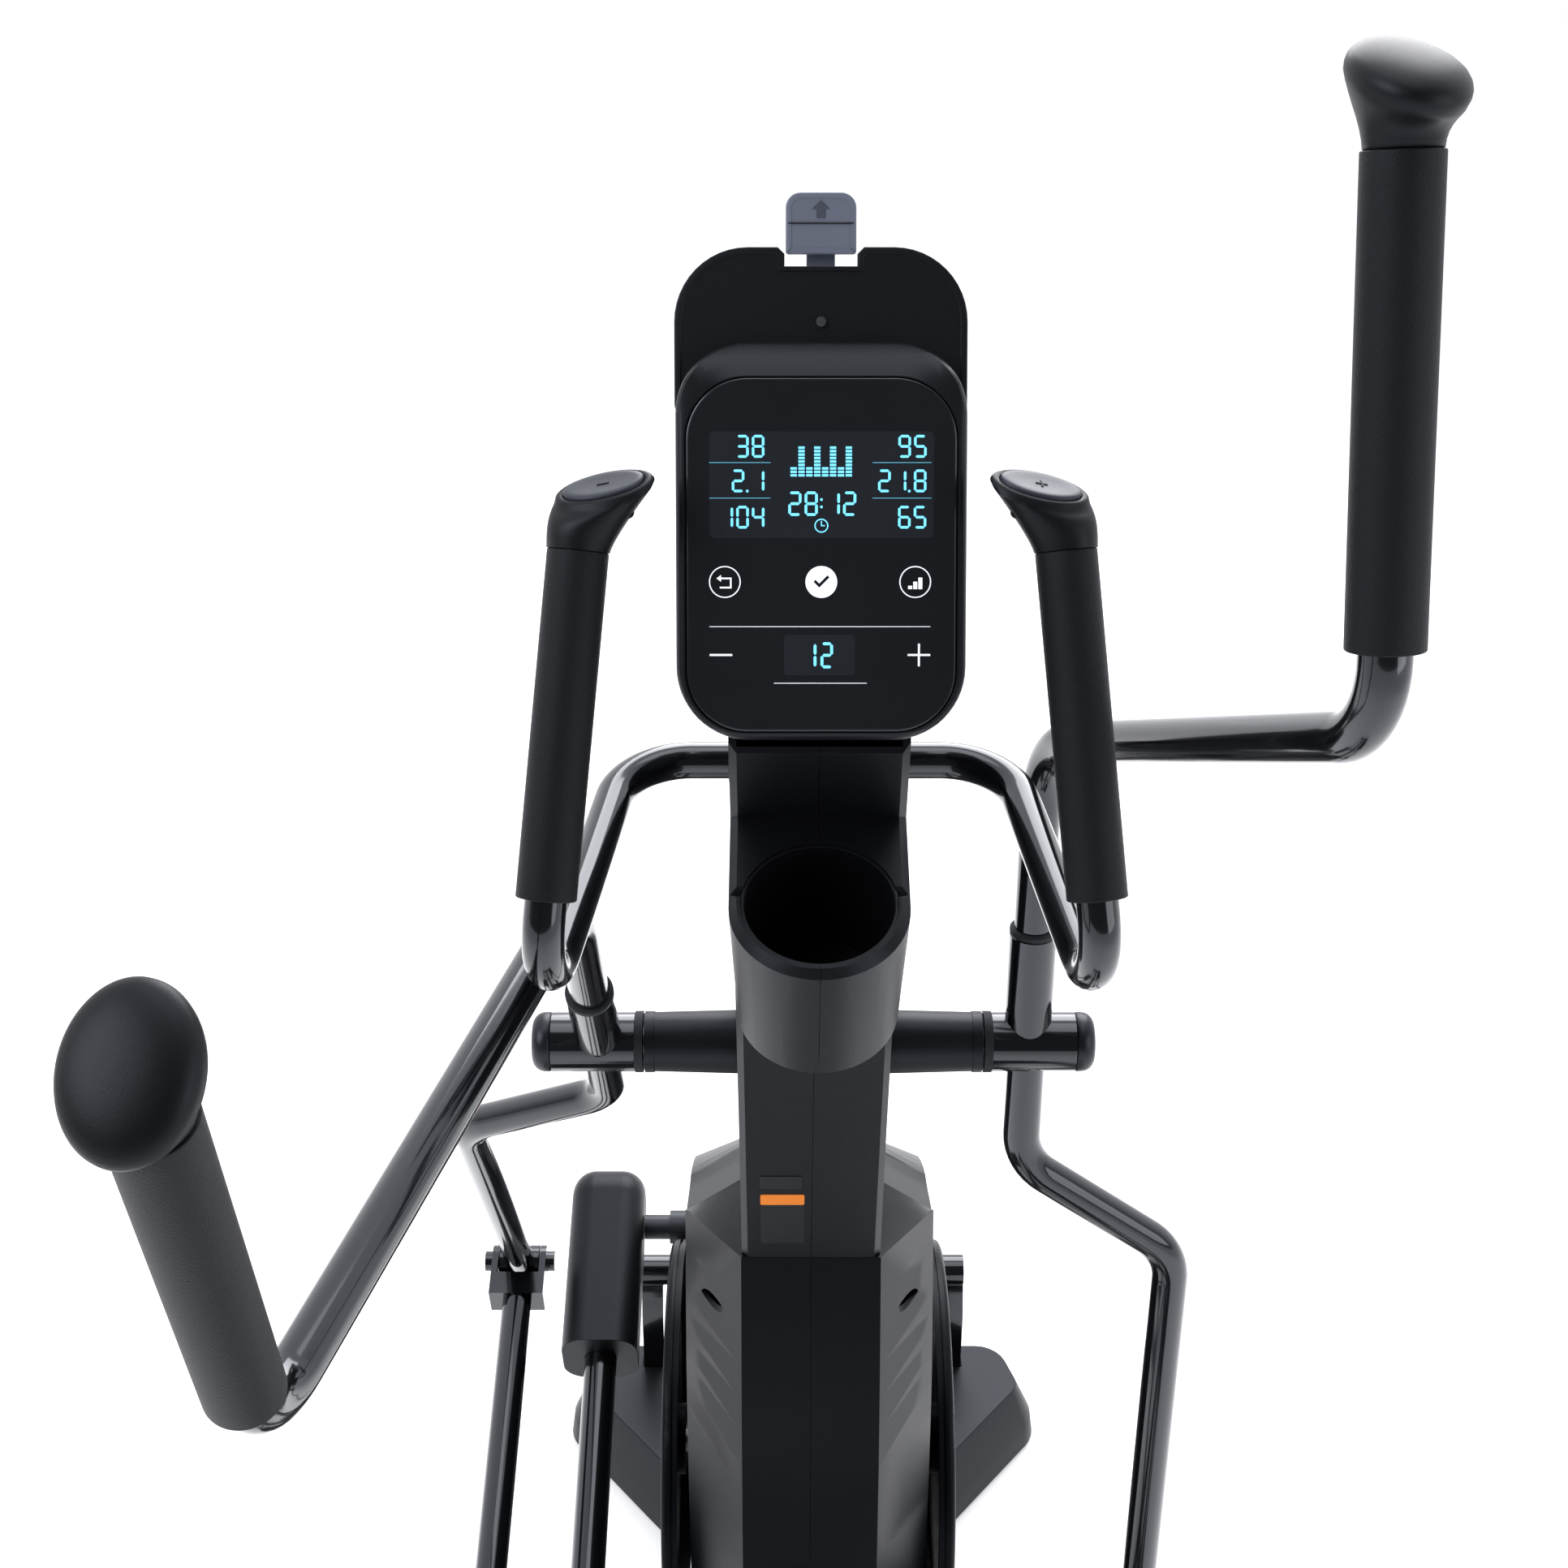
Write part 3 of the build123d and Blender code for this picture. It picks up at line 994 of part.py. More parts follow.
# --- The whole model ---
def whole():
    """Every node by name."""
    nodes = {
        "base_frame": base_frame(),
        "front_stabilizer": front_stabilizer(),
        "rear_stabilizer": stabilizer(REAR_FOOT_Y, FOOT_X + 30, 50),
        "leveling_feet": leveling_feet(),
        "rear_end_caps": rear_end_caps(),
        "front_foot_cover": front_foot_cover(),
        "lift_handle": lift_handle(),
        "transport_wheels": transport_wheels(),
        "guide_rails": guide_rails(),
        "mast_tube": mast_tube(),
        "bottle_cup": bottle_cup(),
        "fasteners": fasteners(),
        "arm_axle": arm_axle(),
        "axle_covers": [axle_cover(side) for side in SIDES.values()],
        "crank_axle": crank_axle(),
        "crank_bearings": crank_bearings(),
        "crank_arms": crank_arms(),
        "crank_discs": crank_discs(),
        "drive_pulley": drive_pulley(),
        "flywheel": flywheel(),
        "idler_pulley": idler_pulley(),
        "inner_axles": inner_axles(),
        "drive_belt": drive_belt(),
        "magnet_bracket": magnet_bracket(),
        "console_bezel": console_bezel(),
        "console_glass": console_glass(),
        "console_back": console_back(),
        "tablet_rest": tablet_rest(),
        "tablet_clip": tablet_clip(),
        "fixed_handlebar": fixed_handlebar(),
        "fixed_grips": fixed_grips(),
        "fixed_heads": [fixed_head(side) for side in SIDES.values()],
    }
    for name, shell in mast_covers().items():
        nodes[f"mast_cover_{name}"] = shell
    for name, shell in housings().items():
        nodes[f"housing_{name}"] = shell
    makers = {
        "arm_hub": arm_hub,
        "arm_upper": arm_upper,
        "arm_grip": arm_grip,
        "arm_knob": arm_knob,
        "arm_cap": arm_cap,
        "link_bar": link_bar,
        "pedal": pedal,
        "roller_bar": roller_bar,
        "bar_cap": bar_cap,
        "roller_axle": roller_axle,
        "roller_wheel": roller_wheel,
    }
    for name, side in SIDES.items():
        nodes[f"thumb_button_{name}"] = thumb_button(side)
        for label, maker in makers.items():
            nodes[f"{label}_{name}"] = maker(name)
    return nodes


def solids_of(shape):
    """All solids of a shape or a list of shapes."""
    shapes = shape if isinstance(shape, list) else [shape]
    return [solid for one in shapes for solid in one.solids()]


os.makedirs("parts", exist_ok=True)
model = {name: Compound(children=solids_of(shape)) for name, shape in whole().items()}
box = Compound(children=[part for part in model.values()]).bounding_box()
centre = Vector(-(box.min.X + box.max.X) / 2, -(box.min.Y + box.max.Y) / 2, -box.min.Z)
print("shift", tuple(centre), "size", tuple(box.size))
for name, part in model.items():
    export_step(Pos(*centre) * Compound(children=part.solids()), f"parts/{name}.step")
for name, state in (*REST.items(), ("left_end", linkage(CRANK_START + CRANK_STROKE))):
    print(name, state)
for name, side in SIDES.items():
    print(f"button_{name}", tuple(Plane(button_frame(side)).z_dir))
print("idler", idler_place())
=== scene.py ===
import json
import math

import bmesh
import bpy
from mathutils.bvhtree import BVHTree
from mathutils import Matrix, Vector


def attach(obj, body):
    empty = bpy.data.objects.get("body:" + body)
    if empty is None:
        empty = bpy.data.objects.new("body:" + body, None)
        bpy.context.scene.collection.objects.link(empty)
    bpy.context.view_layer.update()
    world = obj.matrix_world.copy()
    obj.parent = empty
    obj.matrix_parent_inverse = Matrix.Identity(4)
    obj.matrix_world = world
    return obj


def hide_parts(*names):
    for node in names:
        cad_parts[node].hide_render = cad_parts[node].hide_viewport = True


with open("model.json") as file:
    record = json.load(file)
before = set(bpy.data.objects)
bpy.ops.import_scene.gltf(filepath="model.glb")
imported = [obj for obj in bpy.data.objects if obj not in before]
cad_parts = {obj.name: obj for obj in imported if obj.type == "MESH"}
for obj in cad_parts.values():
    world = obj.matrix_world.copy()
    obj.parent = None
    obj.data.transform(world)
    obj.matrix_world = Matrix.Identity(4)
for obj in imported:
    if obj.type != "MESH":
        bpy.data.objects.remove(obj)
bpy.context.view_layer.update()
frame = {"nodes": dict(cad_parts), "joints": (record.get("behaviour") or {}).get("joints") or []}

JOINTS = {j["name"]: j for j in frame["joints"]}
SIDES = {"left": -1, "right": 1}

# --- Named sizes, in metres; fore-aft places count from the swing arms' axis ---
AXIS_Y = JOINTS["arm_swing_left"]["pos_m"][1]
AXIS_Z = JOINTS["arm_swing_left"]["pos_m"][2]

CONSOLE_FOOT = (-0.196, 1.381)
CONSOLE_LEAN = math.radians(25)
CONSOLE_WIDTH = 0.174
CONSOLE_HEIGHT = 0.236
GLASS_WIDTH = 0.160
GLASS_LOW, GLASS_HIGH = 0.005, 0.213
GLASS_CORNER = 0.036
BEZEL_DEPTH = 0.022
BACK_DEPTH = 0.052
REST_FRONT, REST_BACK = -0.026, -0.032
REST_WIDTH, REST_LOW, REST_TOP = 0.175, 0.190, 0.292
CLIP_WIDTH = 0.042

ARM_X = 0.161
ARM_TUBE = 0.0143
ARM_UPPER_BEND = (0.161, -0.064, 0.242)
ARM_GRIP_BEND = (0.285, -0.472, 0.326)
ARM_GRIP_TOP = (0.277, -0.478, 0.616)
ARM_GRIP_START = 0.045
ARM_GRIP_RADIUS = 0.0208
ARM_EYE_X = 0.286
ARM_EYE = (0.160, -0.599)
ARM_LOWER = ((0.161, 0.0, 0.0), (0.161, 0.027, -0.105), (0.287, 0.054, -0.194), (0.286, 0.160, -0.599))

HANDLE_RADIUS = 0.0127
HANDLE_CROSS = (0.1296, -0.030, 1.274)
HANDLE_TURN = (0.1685, -0.2957, 1.2422)
HANDLE_TOP = (0.141, -0.171, 1.4927)
HANDLE_GRIP_LENGTH = 0.2035
HANDLE_GRIP_RADIUS = 0.018
HEAD_REACH = (0.0115, -0.004, 0.038)
HEAD_TILT = (math.radians(32), math.radians(18))
KNOB_TILT = (math.radians(24), math.radians(10))

STUDIO_FRONT, STUDIO_BACK = 0.10, 1.25  # brightness behind the camera and behind the object
FLOOR_REACH = 40.0
LENS = 36.0 * 2721 / 1932
EYE_PLACE = (-0.022, -1.344, 1.000)  # camera, from the swing arms' axis in depth and height
EYE_PITCH = math.radians(60)

PRINT_LOW, PRINT_HIGH = 0.00002, 0.00016  # thickness of the print, above the glass
KEY_UP = 0.0937
KEY_RADIUS = 0.0094
QUIT_X, PROGRAM_X = -0.0569, 0.0554
RULE_LEFT, RULE_RIGHT = -0.066, 0.0645
READOUTS = (("38", -0.0335, 0.1663), ("2.1", -0.0335, 0.1462), ("104", -0.0335, 0.1250),
            ("95", 0.0617, 0.1663), ("21.8", 0.0617, 0.1462), ("65", 0.0617, 0.1250))
GRAPH_LEFT, GRAPH_FOOT, GRAPH_PITCH, GRAPH_STEP = -0.0182, 0.1554, 0.00463, 0.00201
CLOCK_UP = 0.1267


# --- Materials ---
def srgb(red, green, blue):
    """8-bit display values as a linear colour."""
    parts = [v / 255 for v in (red, green, blue)]
    return tuple(((v + 0.055) / 1.055) ** 2.4 if v > 0.04 else v / 12.92 for v in parts) + (1.0,)


REFLECTION_TINT = (0.80, 0.86, 1.0, 1.0)


def finish(name, colour, rough, spread=0.06, mottle=0.06, grain=900.0, bump=0.0001, metal=0.0, coat=0.0,
           coat_rough=0.1, detail=3.0, stretch=None, specular=0.5, sheen=0.0, cells=0.0):
    """Procedural finish: fine grain in the bump, cloudy variation in colour and roughness."""
    mat = bpy.data.materials.new(name)
    mat.use_nodes = True
    tree = mat.node_tree
    nodes, links = tree.nodes, tree.links
    shader = nodes["Principled BSDF"]
    place = nodes.new("ShaderNodeTexCoord")
    source = place.outputs["Object"]
    if stretch:
        mapping = nodes.new("ShaderNodeMapping")
        mapping.inputs["Scale"].default_value = stretch
        links.new(source, mapping.inputs["Vector"])
        source = mapping.outputs["Vector"]
    fine = nodes.new("ShaderNodeTexNoise")
    fine.inputs["Scale"].default_value = grain
    fine.inputs["Detail"].default_value = detail
    fine.inputs["Roughness"].default_value = 0.6
    cloud = nodes.new("ShaderNodeTexNoise")
    cloud.inputs["Scale"].default_value = 11.0
    cloud.inputs["Detail"].default_value = 4.0
    links.new(source, fine.inputs["Vector"])
    links.new(place.outputs["Object"], cloud.inputs["Vector"])
    height = fine.outputs["Fac"]
    if cells:
        cell = nodes.new("ShaderNodeTexVoronoi")
        cell.inputs["Scale"].default_value = cells
        links.new(place.outputs["Object"], cell.inputs["Vector"])
        mixed = nodes.new("ShaderNodeMath")
        mixed.operation = "ADD"
        links.new(fine.outputs["Fac"], mixed.inputs[0])
        links.new(cell.outputs["Distance"], mixed.inputs[1])
        height = mixed.outputs[0]
    lift = nodes.new("ShaderNodeBump")
    lift.inputs["Strength"].default_value = 0.6
    lift.inputs["Distance"].default_value = bump
    links.new(height, lift.inputs["Height"])
    links.new(lift.outputs["Normal"], shader.inputs["Normal"])
    ramp = nodes.new("ShaderNodeValToRGB")
    ramp.color_ramp.elements[0].position = 0.3
    ramp.color_ramp.elements[1].position = 0.7
    low = tuple(c * (1 - mottle) for c in colour[:3]) + (1.0,)
    high = tuple(min(c * (1 + mottle), 1) for c in colour[:3]) + (1.0,)
    ramp.color_ramp.elements[0].color = low
    ramp.color_ramp.elements[1].color = high
    links.new(cloud.outputs["Fac"], ramp.inputs["Fac"])
    links.new(ramp.outputs["Color"], shader.inputs["Base Color"])
    gloss = nodes.new("ShaderNodeMapRange")
    gloss.inputs["To Min"].default_value = max(rough - spread, 0.02)
    gloss.inputs["To Max"].default_value = min(rough + spread, 1.0)
    links.new(fine.outputs["Fac"], gloss.inputs["Value"])
    links.new(gloss.outputs["Result"], shader.inputs["Roughness"])
    shader.inputs["Metallic"].default_value = metal
    shader.inputs["Coat Weight"].default_value = coat
    shader.inputs["Coat Roughness"].default_value = coat_rough
    shader.inputs["Specular IOR Level"].default_value = specular
    shader.inputs["Specular Tint"].default_value = REFLECTION_TINT
    shader.inputs["Sheen Weight"].default_value = sheen
    shader.inputs["Sheen Roughness"].default_value = 0.4
    return mat


def glow(name, colour, strength):
    """Faintly glowing material with a slight unevenness: the lit display segments, and the key print, whose glow is
    painted light.
    """
    mat = finish(name, colour, 0.35, grain=400.0, bump=0.00002)
    shader = mat.node_tree.nodes["Principled BSDF"]
    shader.inputs["Emission Color"].default_value = colour
    shader.inputs["Emission Strength"].default_value = strength
    return mat


LOOKS = {
    "frame_steel": finish("frame_steel", srgb(30, 31, 34), 0.42, grain=700.0, bump=0.00006, coat=0.1, coat_rough=0.3),
    "tube_black": finish("tube_black", srgb(9, 10, 12), 0.15, spread=0.03, grain=260.0, bump=0.00003, coat=0.7,
                         coat_rough=0.06),
    "steel_bright": finish("steel_bright", srgb(150, 152, 156), 0.26, spread=0.08, grain=500.0, bump=0.00004,
                           metal=1.0, stretch=(1.0, 1.0, 14.0)),
    "cover_plastic": finish("cover_plastic", srgb(14, 15, 18), 0.40, grain=1100.0, bump=0.00022, specular=0.28),
    "housing_plastic": finish("housing_plastic", srgb(15, 17, 20), 0.34, grain=1300.0, bump=0.00014, specular=0.10),
    "mast_plastic": finish("mast_plastic", srgb(16, 17, 20), 0.38, grain=1300.0, bump=0.00020, specular=0.24),
    "cap_plastic": finish("cap_plastic", srgb(18, 19, 23), 0.34, grain=1000.0, bump=0.00016, specular=0.4),
    "foam": finish("foam", srgb(11, 12, 14), 0.52, spread=0.08, grain=1500.0, bump=0.0003,
                   sheen=0.03, cells=1100.0, specular=0.22),
    "knob_plastic": finish("knob_plastic", srgb(11, 12, 14), 0.42, grain=1200.0, bump=0.00012, specular=0.22),
    "button_plastic": finish("button_plastic", srgb(44, 47, 55), 0.40, grain=900.0, bump=0.0001, specular=0.35),
    "rubber": finish("rubber", srgb(18, 18, 19), 0.72, spread=0.12, grain=420.0, bump=0.0003),
    "roller": finish("roller", srgb(70, 72, 76), 0.48, grain=600.0, bump=0.00012),
    "rail": finish("rail", srgb(168, 171, 176), 0.30, spread=0.1, grain=420.0, bump=0.00005, metal=1.0,
                   stretch=(10.0, 1.0, 10.0)),
    "glass": finish("glass", srgb(20, 22, 25), 0.24, spread=0.03, grain=60.0, bump=0.00001, coat=0.35,
                    coat_rough=0.08, specular=0.4,
                    mottle=0.12),
    "clip_grey": finish("clip_grey", srgb(98, 103, 118), 0.42, grain=1000.0, bump=0.00014),
    "iron": finish("iron", srgb(84, 86, 90), 0.46, spread=0.12, grain=350.0, bump=0.00018, metal=0.9),
    "pedal_plastic": finish("pedal_plastic", srgb(36, 37, 40), 0.56, grain=800.0, bump=0.0003, cells=260.0),
}
LCD = glow("display_segments", srgb(112, 205, 240), 0.75)
# White key print made to glow faintly: painted light.
KEY_PRINT_GLOW = glow("key_print_glow", srgb(235, 240, 245), 0.35)
WINDOW = finish("display_window", srgb(31, 34, 39), 0.22, spread=0.04, grain=80.0, bump=0.00001, coat=0.3)
# Near-black painted shade for the vent slots, the clip's crease, the grip heads' underside holes and the button
# signs.
RECESS_SHADE = finish("painted_recess_shade", srgb(9, 9, 10), 0.6, grain=700.0, bump=0.0001)
ORANGE = finish("label_orange", srgb(238, 133, 32), 0.42, grain=500.0, bump=0.00004)
PRINT_BLACK = finish("label_black", srgb(14, 14, 15), 0.34, grain=500.0, bump=0.00004)


# --- Mesh helpers ---
def add(name, verts, faces, body, slot=None, mat=None, sharp=35, stands_for=(), merge=1e-6):
    """A mesh piece that rides on a body, smooth except at sharp angles."""
    mesh = bpy.data.meshes.new(name)
    mesh.from_pydata([tuple(v) for v in verts], [], faces)
    bm = bmesh.new()
    bm.from_mesh(mesh)
    bmesh.ops.remove_doubles(bm, verts=bm.verts, dist=merge)
    bmesh.ops.recalc_face_normals(bm, faces=bm.faces)
    return from_bm(name, bm, body, slot, mat, sharp, stands_for, mesh)


def from_bm(name, bm, body, slot=None, mat=None, sharp=35, stands_for=(), mesh=None):
    """A piece from a bmesh."""
    mesh = mesh or bpy.data.meshes.new(name)
    bm.to_mesh(mesh)
    bm.free()
    for face in mesh.polygons:
        face.use_smooth = True
    mesh.set_sharp_from_angle(angle=math.radians(sharp))
    mesh.materials.append(mat or LOOKS[slot])
    obj = bpy.data.objects.new(name, mesh)
    bpy.context.scene.collection.objects.link(obj)
    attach(obj, body)
    if stands_for:
        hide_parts(*stands_for)
    return obj


def loft(rings, caps=(True, True)):
    """Vertices and faces of closed rings joined in turn."""
    count = len(rings[0])
    verts = [p for ring in rings for p in ring]
    faces = []
    for r in range(len(rings) - 1):
        a, b = r * count, (r + 1) * count
        for i in range(count):
            j = (i + 1) % count
            faces.append((a + i, a + j, b + j, b + i))
    if caps[0]:
        faces.append(tuple(reversed(range(count))))
    if caps[1]:
        faces.append(tuple(range((len(rings) - 1) * count, len(rings) * count)))
    return verts, faces


def together(*parts):
    """Several (vertices, faces) pairs as one."""
    verts, faces = [], []
    for v, f in parts:
        start = len(verts)
        verts += v
        faces += [tuple(i + start for i in face) for face in f]
    return verts, faces


def cross_axes(direction):
    """Two unit vectors square to a direction."""
    direction = direction.normalized()
    guide = Vector((0, 0, 1)) if abs(direction.z) < 0.9 else Vector((0, 1, 0))
    first = direction.cross(guide).normalized()
    return first, direction.cross(first).normalized()


def turned(origin, direction, profile, count=64):
    """Lathed form: (along, radius) pairs round a line."""
    direction = direction.normalized()
    u, v = cross_axes(direction)
    rings = []
    for along, radius in profile:
        centre = origin + direction * along
        ring = []
        for i in range(count):
            t = 2 * math.pi * i / count
            ring.append(centre + u * (math.cos(t) * radius) + v * (math.sin(t) * radius))
        rings.append(ring)
    return loft(rings)


def route(points, radii, step=0.006):
    """Straight runs joined by tangent arcs, as points."""
    points = [Vector(p) for p in points]
    line = [points[0]]
    for before, corner, after, radius in zip(points, points[1:], points[2:], radii):
        a, b = (before - corner).normalized(), (after - corner).normalized()
        half = a.angle(b) / 2
        reach = radius / math.tan(half)
        centre = corner + (a + b).normalized() * (radius / math.sin(half))
        start, end = corner + a * reach - centre, corner + b * reach - centre
        turn = start.angle(end)
        count = max(6, int(radius * turn / step))
        for i in range(count + 1):
            share = i / count
            spoke = start * math.sin((1 - share) * turn) + end * math.sin(share * turn)
            line.append(centre + spoke / math.sin(turn))
    line.append(points[-1])
    return line


def swept(line, radius, count=48):
    """Round tube along a line of points."""
    rings, u = [], None
    for i, p in enumerate(line):
        ahead = line[min(i + 1, len(line) - 1)] - line[max(i - 1, 0)]
        ahead.normalize()
        if u is None:
            u = cross_axes(ahead)[0]
        u = (u - ahead * u.dot(ahead)).normalized()
        v = ahead.cross(u)
        rings.append([p + u * (math.cos(t) * radius) + v * (math.sin(t) * radius)
                      for t in (2 * math.pi * k / count for k in range(count))])
    return loft(rings)


def rounded(width, low, high, radius, steps=10, top_radius=None):
    """Rounded rectangle as (x, up) points, from the lower right corner round."""
    top_radius = top_radius or radius
    half = width / 2
    corners = [(half, low, radius, -90), (half, high, top_radius, 0), (-half, high, top_radius, 90),
               (-half, low, radius, 180)]
    points = []
    for x, z, r, start in corners:
        cx = x - math.copysign(r, x)
        cz = z + r if z == low else z - r
        for i in range(steps + 1):
            t = math.radians(start + 90 * i / steps)
            points.append((cx + r * math.cos(t), cz + r * math.sin(t)))
    return points


def plate(outline, place, back, front, bevel=0.0006, segments=3, inset=None):
    """Bevelled plate between two depths, with an optional (rim, step) sunk into its front."""
    bm = bmesh.new()
    verts = [bm.verts.new(place(x, y, back)) for x, y in outline]
    face = bm.faces.new(verts)
    made = bmesh.ops.extrude_face_region(bm, geom=[face])
    top = [g for g in made["geom"] if isinstance(g, bmesh.types.BMVert)]
    shift = place(0, 0, front) - place(0, 0, back)
    bmesh.ops.translate(bm, verts=top, vec=shift)
    bmesh.ops.recalc_face_normals(bm, faces=bm.faces)
    rims = [e for e in bm.edges if all(len(f.verts) > 4 for f in e.link_faces) is False
            and any(len(f.verts) > 4 for f in e.link_faces)]
    if bevel:
        bmesh.ops.bevel(bm, geom=rims, offset=bevel, segments=segments, profile=0.5, affect="EDGES")
    if inset:
        rim, step = inset
        out = shift.normalized()
        front_face = max((f for f in bm.faces if len(f.verts) > 6), key=lambda f: f.calc_center_median().dot(out))
        bmesh.ops.inset_region(bm, faces=[front_face], thickness=rim)
        bmesh.ops.inset_region(bm, faces=[front_face], thickness=abs(step), depth=-step)
    return bm


def at(x, y, z):
    """Row-frame point from a place counted from the swing arms' axis and a height."""
    return Vector((x, y + AXIS_Y, z))


def console(x, up, out):
    """Row-frame point from a place on the console's face."""
    s, c = math.sin(CONSOLE_LEAN), math.cos(CONSOLE_LEAN)
    return at(x, CONSOLE_FOOT[0] + up * s - out * c, CONSOLE_FOOT[1] + up * c + out * s)


def refine(node, body, slot, bevel=0.0008, sharp=30, segments=2):
    """The CAD node's own shape with its facets merged, its edges rounded and smooth shading."""
    source = frame["nodes"][node]
    bm = bmesh.new()
    bm.from_mesh(source.data)
    bmesh.ops.remove_doubles(bm, verts=bm.verts, dist=1e-6)
    bmesh.ops.dissolve_limit(bm, angle_limit=math.radians(0.4), verts=bm.verts, edges=bm.edges)
    if bevel:
        edges = [e for e in bm.edges if len(e.link_faces) == 2 and e.calc_face_angle(0) > math.radians(sharp)]
        bmesh.ops.bevel(bm, geom=edges, offset=bevel, segments=segments, profile=0.5, affect="EDGES",
                        clamp_overlap=True)
    piece = from_bm(f"{node}_shape", bm, body, slot, sharp=sharp, stands_for=[node])
    even = piece.modifiers.new("even_normals", "WEIGHTED_NORMAL")
    even.keep_sharp = True
    even.weight = 90
    return piece


# --- Console ---
def face_drop(x, up):
    """How far the console's front falls back: gently crowned, with a lip that slopes away above the glass."""
    lip = max(0.0, up - GLASS_HIGH) / (CONSOLE_HEIGHT - GLASS_HIGH)
    side = max(0.0, abs(x) - GLASS_WIDTH / 2) / 0.007
    low = max(0.0, GLASS_LOW - up) / GLASS_LOW
    return 0.016 * lip**1.4 + 0.0012 * side**2 + 0.0015 * low


def console_outline(grow):
    """Outline of the console's body: bulging sides, round corners."""
    points = rounded(CONSOLE_WIDTH - 0.001 + 2 * grow, -grow, CONSOLE_HEIGHT - 0.0005 + grow, 0.043 + grow, steps=14)
    middle = CONSOLE_HEIGHT / 2
    return [(x * (1 - 0.014 * ((up - middle) / middle) ** 2), up) for x, up in points]


def console_parts():
    glass = rounded(GLASS_WIDTH, GLASS_LOW, GLASS_HIGH, GLASS_CORNER, steps=14)
    seat = rounded(GLASS_WIDTH + 0.0008, GLASS_LOW - 0.0004, GLASS_HIGH + 0.0004, GLASS_CORNER + 0.0004, steps=14)
    lip = rounded(GLASS_WIDTH + 0.0022, GLASS_LOW - 0.0011, GLASS_HIGH + 0.0011, GLASS_CORNER + 0.001, steps=14)

    def ring(points, out, follow=True):
        return [console(x, up, out - (face_drop(x, up) if follow else 0)) for x, up in points]

    middle = [tuple((a + b) / 2 for a, b in zip(p, q)) for p, q in zip(lip, console_outline(-0.0025))]
    rings = [ring(glass, -0.0032, False), ring(seat, -0.003, False), ring(seat, -0.0010), ring(lip, -0.0002),
             ring(middle, -0.0002), ring(console_outline(-0.0025), -0.0006), ring(console_outline(-0.0008), -0.0022),
             ring(console_outline(0), -0.0050), ring(console_outline(0), -0.0060)]
    rings.append([console(x, up, -BEZEL_DEPTH) for x, up in console_outline(0)])
    rings.append([console(x, up, -BEZEL_DEPTH) for x, up in console_outline(-0.003)])
    rings.append([console(x, up, -0.006) for x, up in [tuple(v * 0.98 for v in p) for p in glass]])
    add("console_bezel_shape", *loft(rings, caps=(False, False)), "root", "cover_plastic", sharp=28,
        stands_for=["console_bezel"])
    rows = []
    for grow, out in ((0.0, -0.003), (0.0, -0.0009), (-0.0003, -0.0004), (-0.0009, -0.0001), (-0.0022, 0.0)):
        outline = rounded(GLASS_WIDTH - 0.0004 + 2 * grow, GLASS_LOW + 0.0002 - grow, GLASS_HIGH - 0.0002 + grow,
                          GLASS_CORNER + grow, steps=14)
        rows.append([console(x, up, out) for x, up in outline])
    add("console_glass_pane", *loft(rows), "root", "glass", sharp=40, stands_for=["console_glass"])
    back_parts()


def back_parts():
    """Rear shell: a full-height rim, then a body that ends below the tablet rest, with screw posts, and vent slots
    drawn as dark plates of painted shade.
    """
    def outline(grow, top):
        points = console_outline(grow)
        return [(x, min(up, top)) for x, up in points]

    rings = []
    for grow, out, top in ((-0.0012, -0.0223, 1), (-0.0012, -0.0255, 1), (-0.0016, -0.0259, 1),
                           (-0.0022, -0.0262, 0.1875), (-0.0030, -0.032, 0.187), (-0.0065, -0.040, 0.186),
                           (-0.0125, -0.0475, 0.1845), (-0.0165, -0.0505, 0.182), (-0.0205, -BACK_DEPTH, 0.178)):
        rings.append([console(x, up, out) for x, up in outline(grow, top)])
    shell = add("console_back_shape", *loft(rings), "root", "cover_plastic", sharp=32, stands_for=["console_back"])
    parts = []
    for row in range(7):
        up = 0.128 + row * 0.006
        slot = rounded(0.052, up - 0.0014, up + 0.0014, 0.0013, steps=4)
        rings = [[console(x, u, out) for x, u in [tuple(v * 1 for v in p) for p in slot]]
                 for out in (-0.0500, -0.0519, -0.0521)]
        parts.append(loft(rings))
    # The vent slots are near-black plates on the shell: painted shade, not openings.
    add("console_back_vent_shade", *together(*parts), "root", "cover_plastic", mat=RECESS_SHADE)
    screws = []
    for x, up in ((-0.052, 0.165), (0.052, 0.165), (-0.052, 0.045), (0.052, 0.045)):
        origin = console(x, up, -0.0498)
        direction = console(0, 0, -1) - console(0, 0, 0)
        screws.append(turned(origin, direction, [(0, 0.0042), (0.0016, 0.0042), (0.0022, 0.0036), (0.0022, 0.0018),
                                                 (0.0012, 0.0014)], 24))
    add("console_back_screws", *together(*screws), "root", "steel_bright")
    return shell


SEGMENTS = {"0": "abcdef", "1": "bc", "2": "abged", "3": "abgcd", "4": "fgbc", "5": "afgcd", "6": "afgcde",
            "7": "abc", "8": "abcdefg", "9": "abcdfg"}


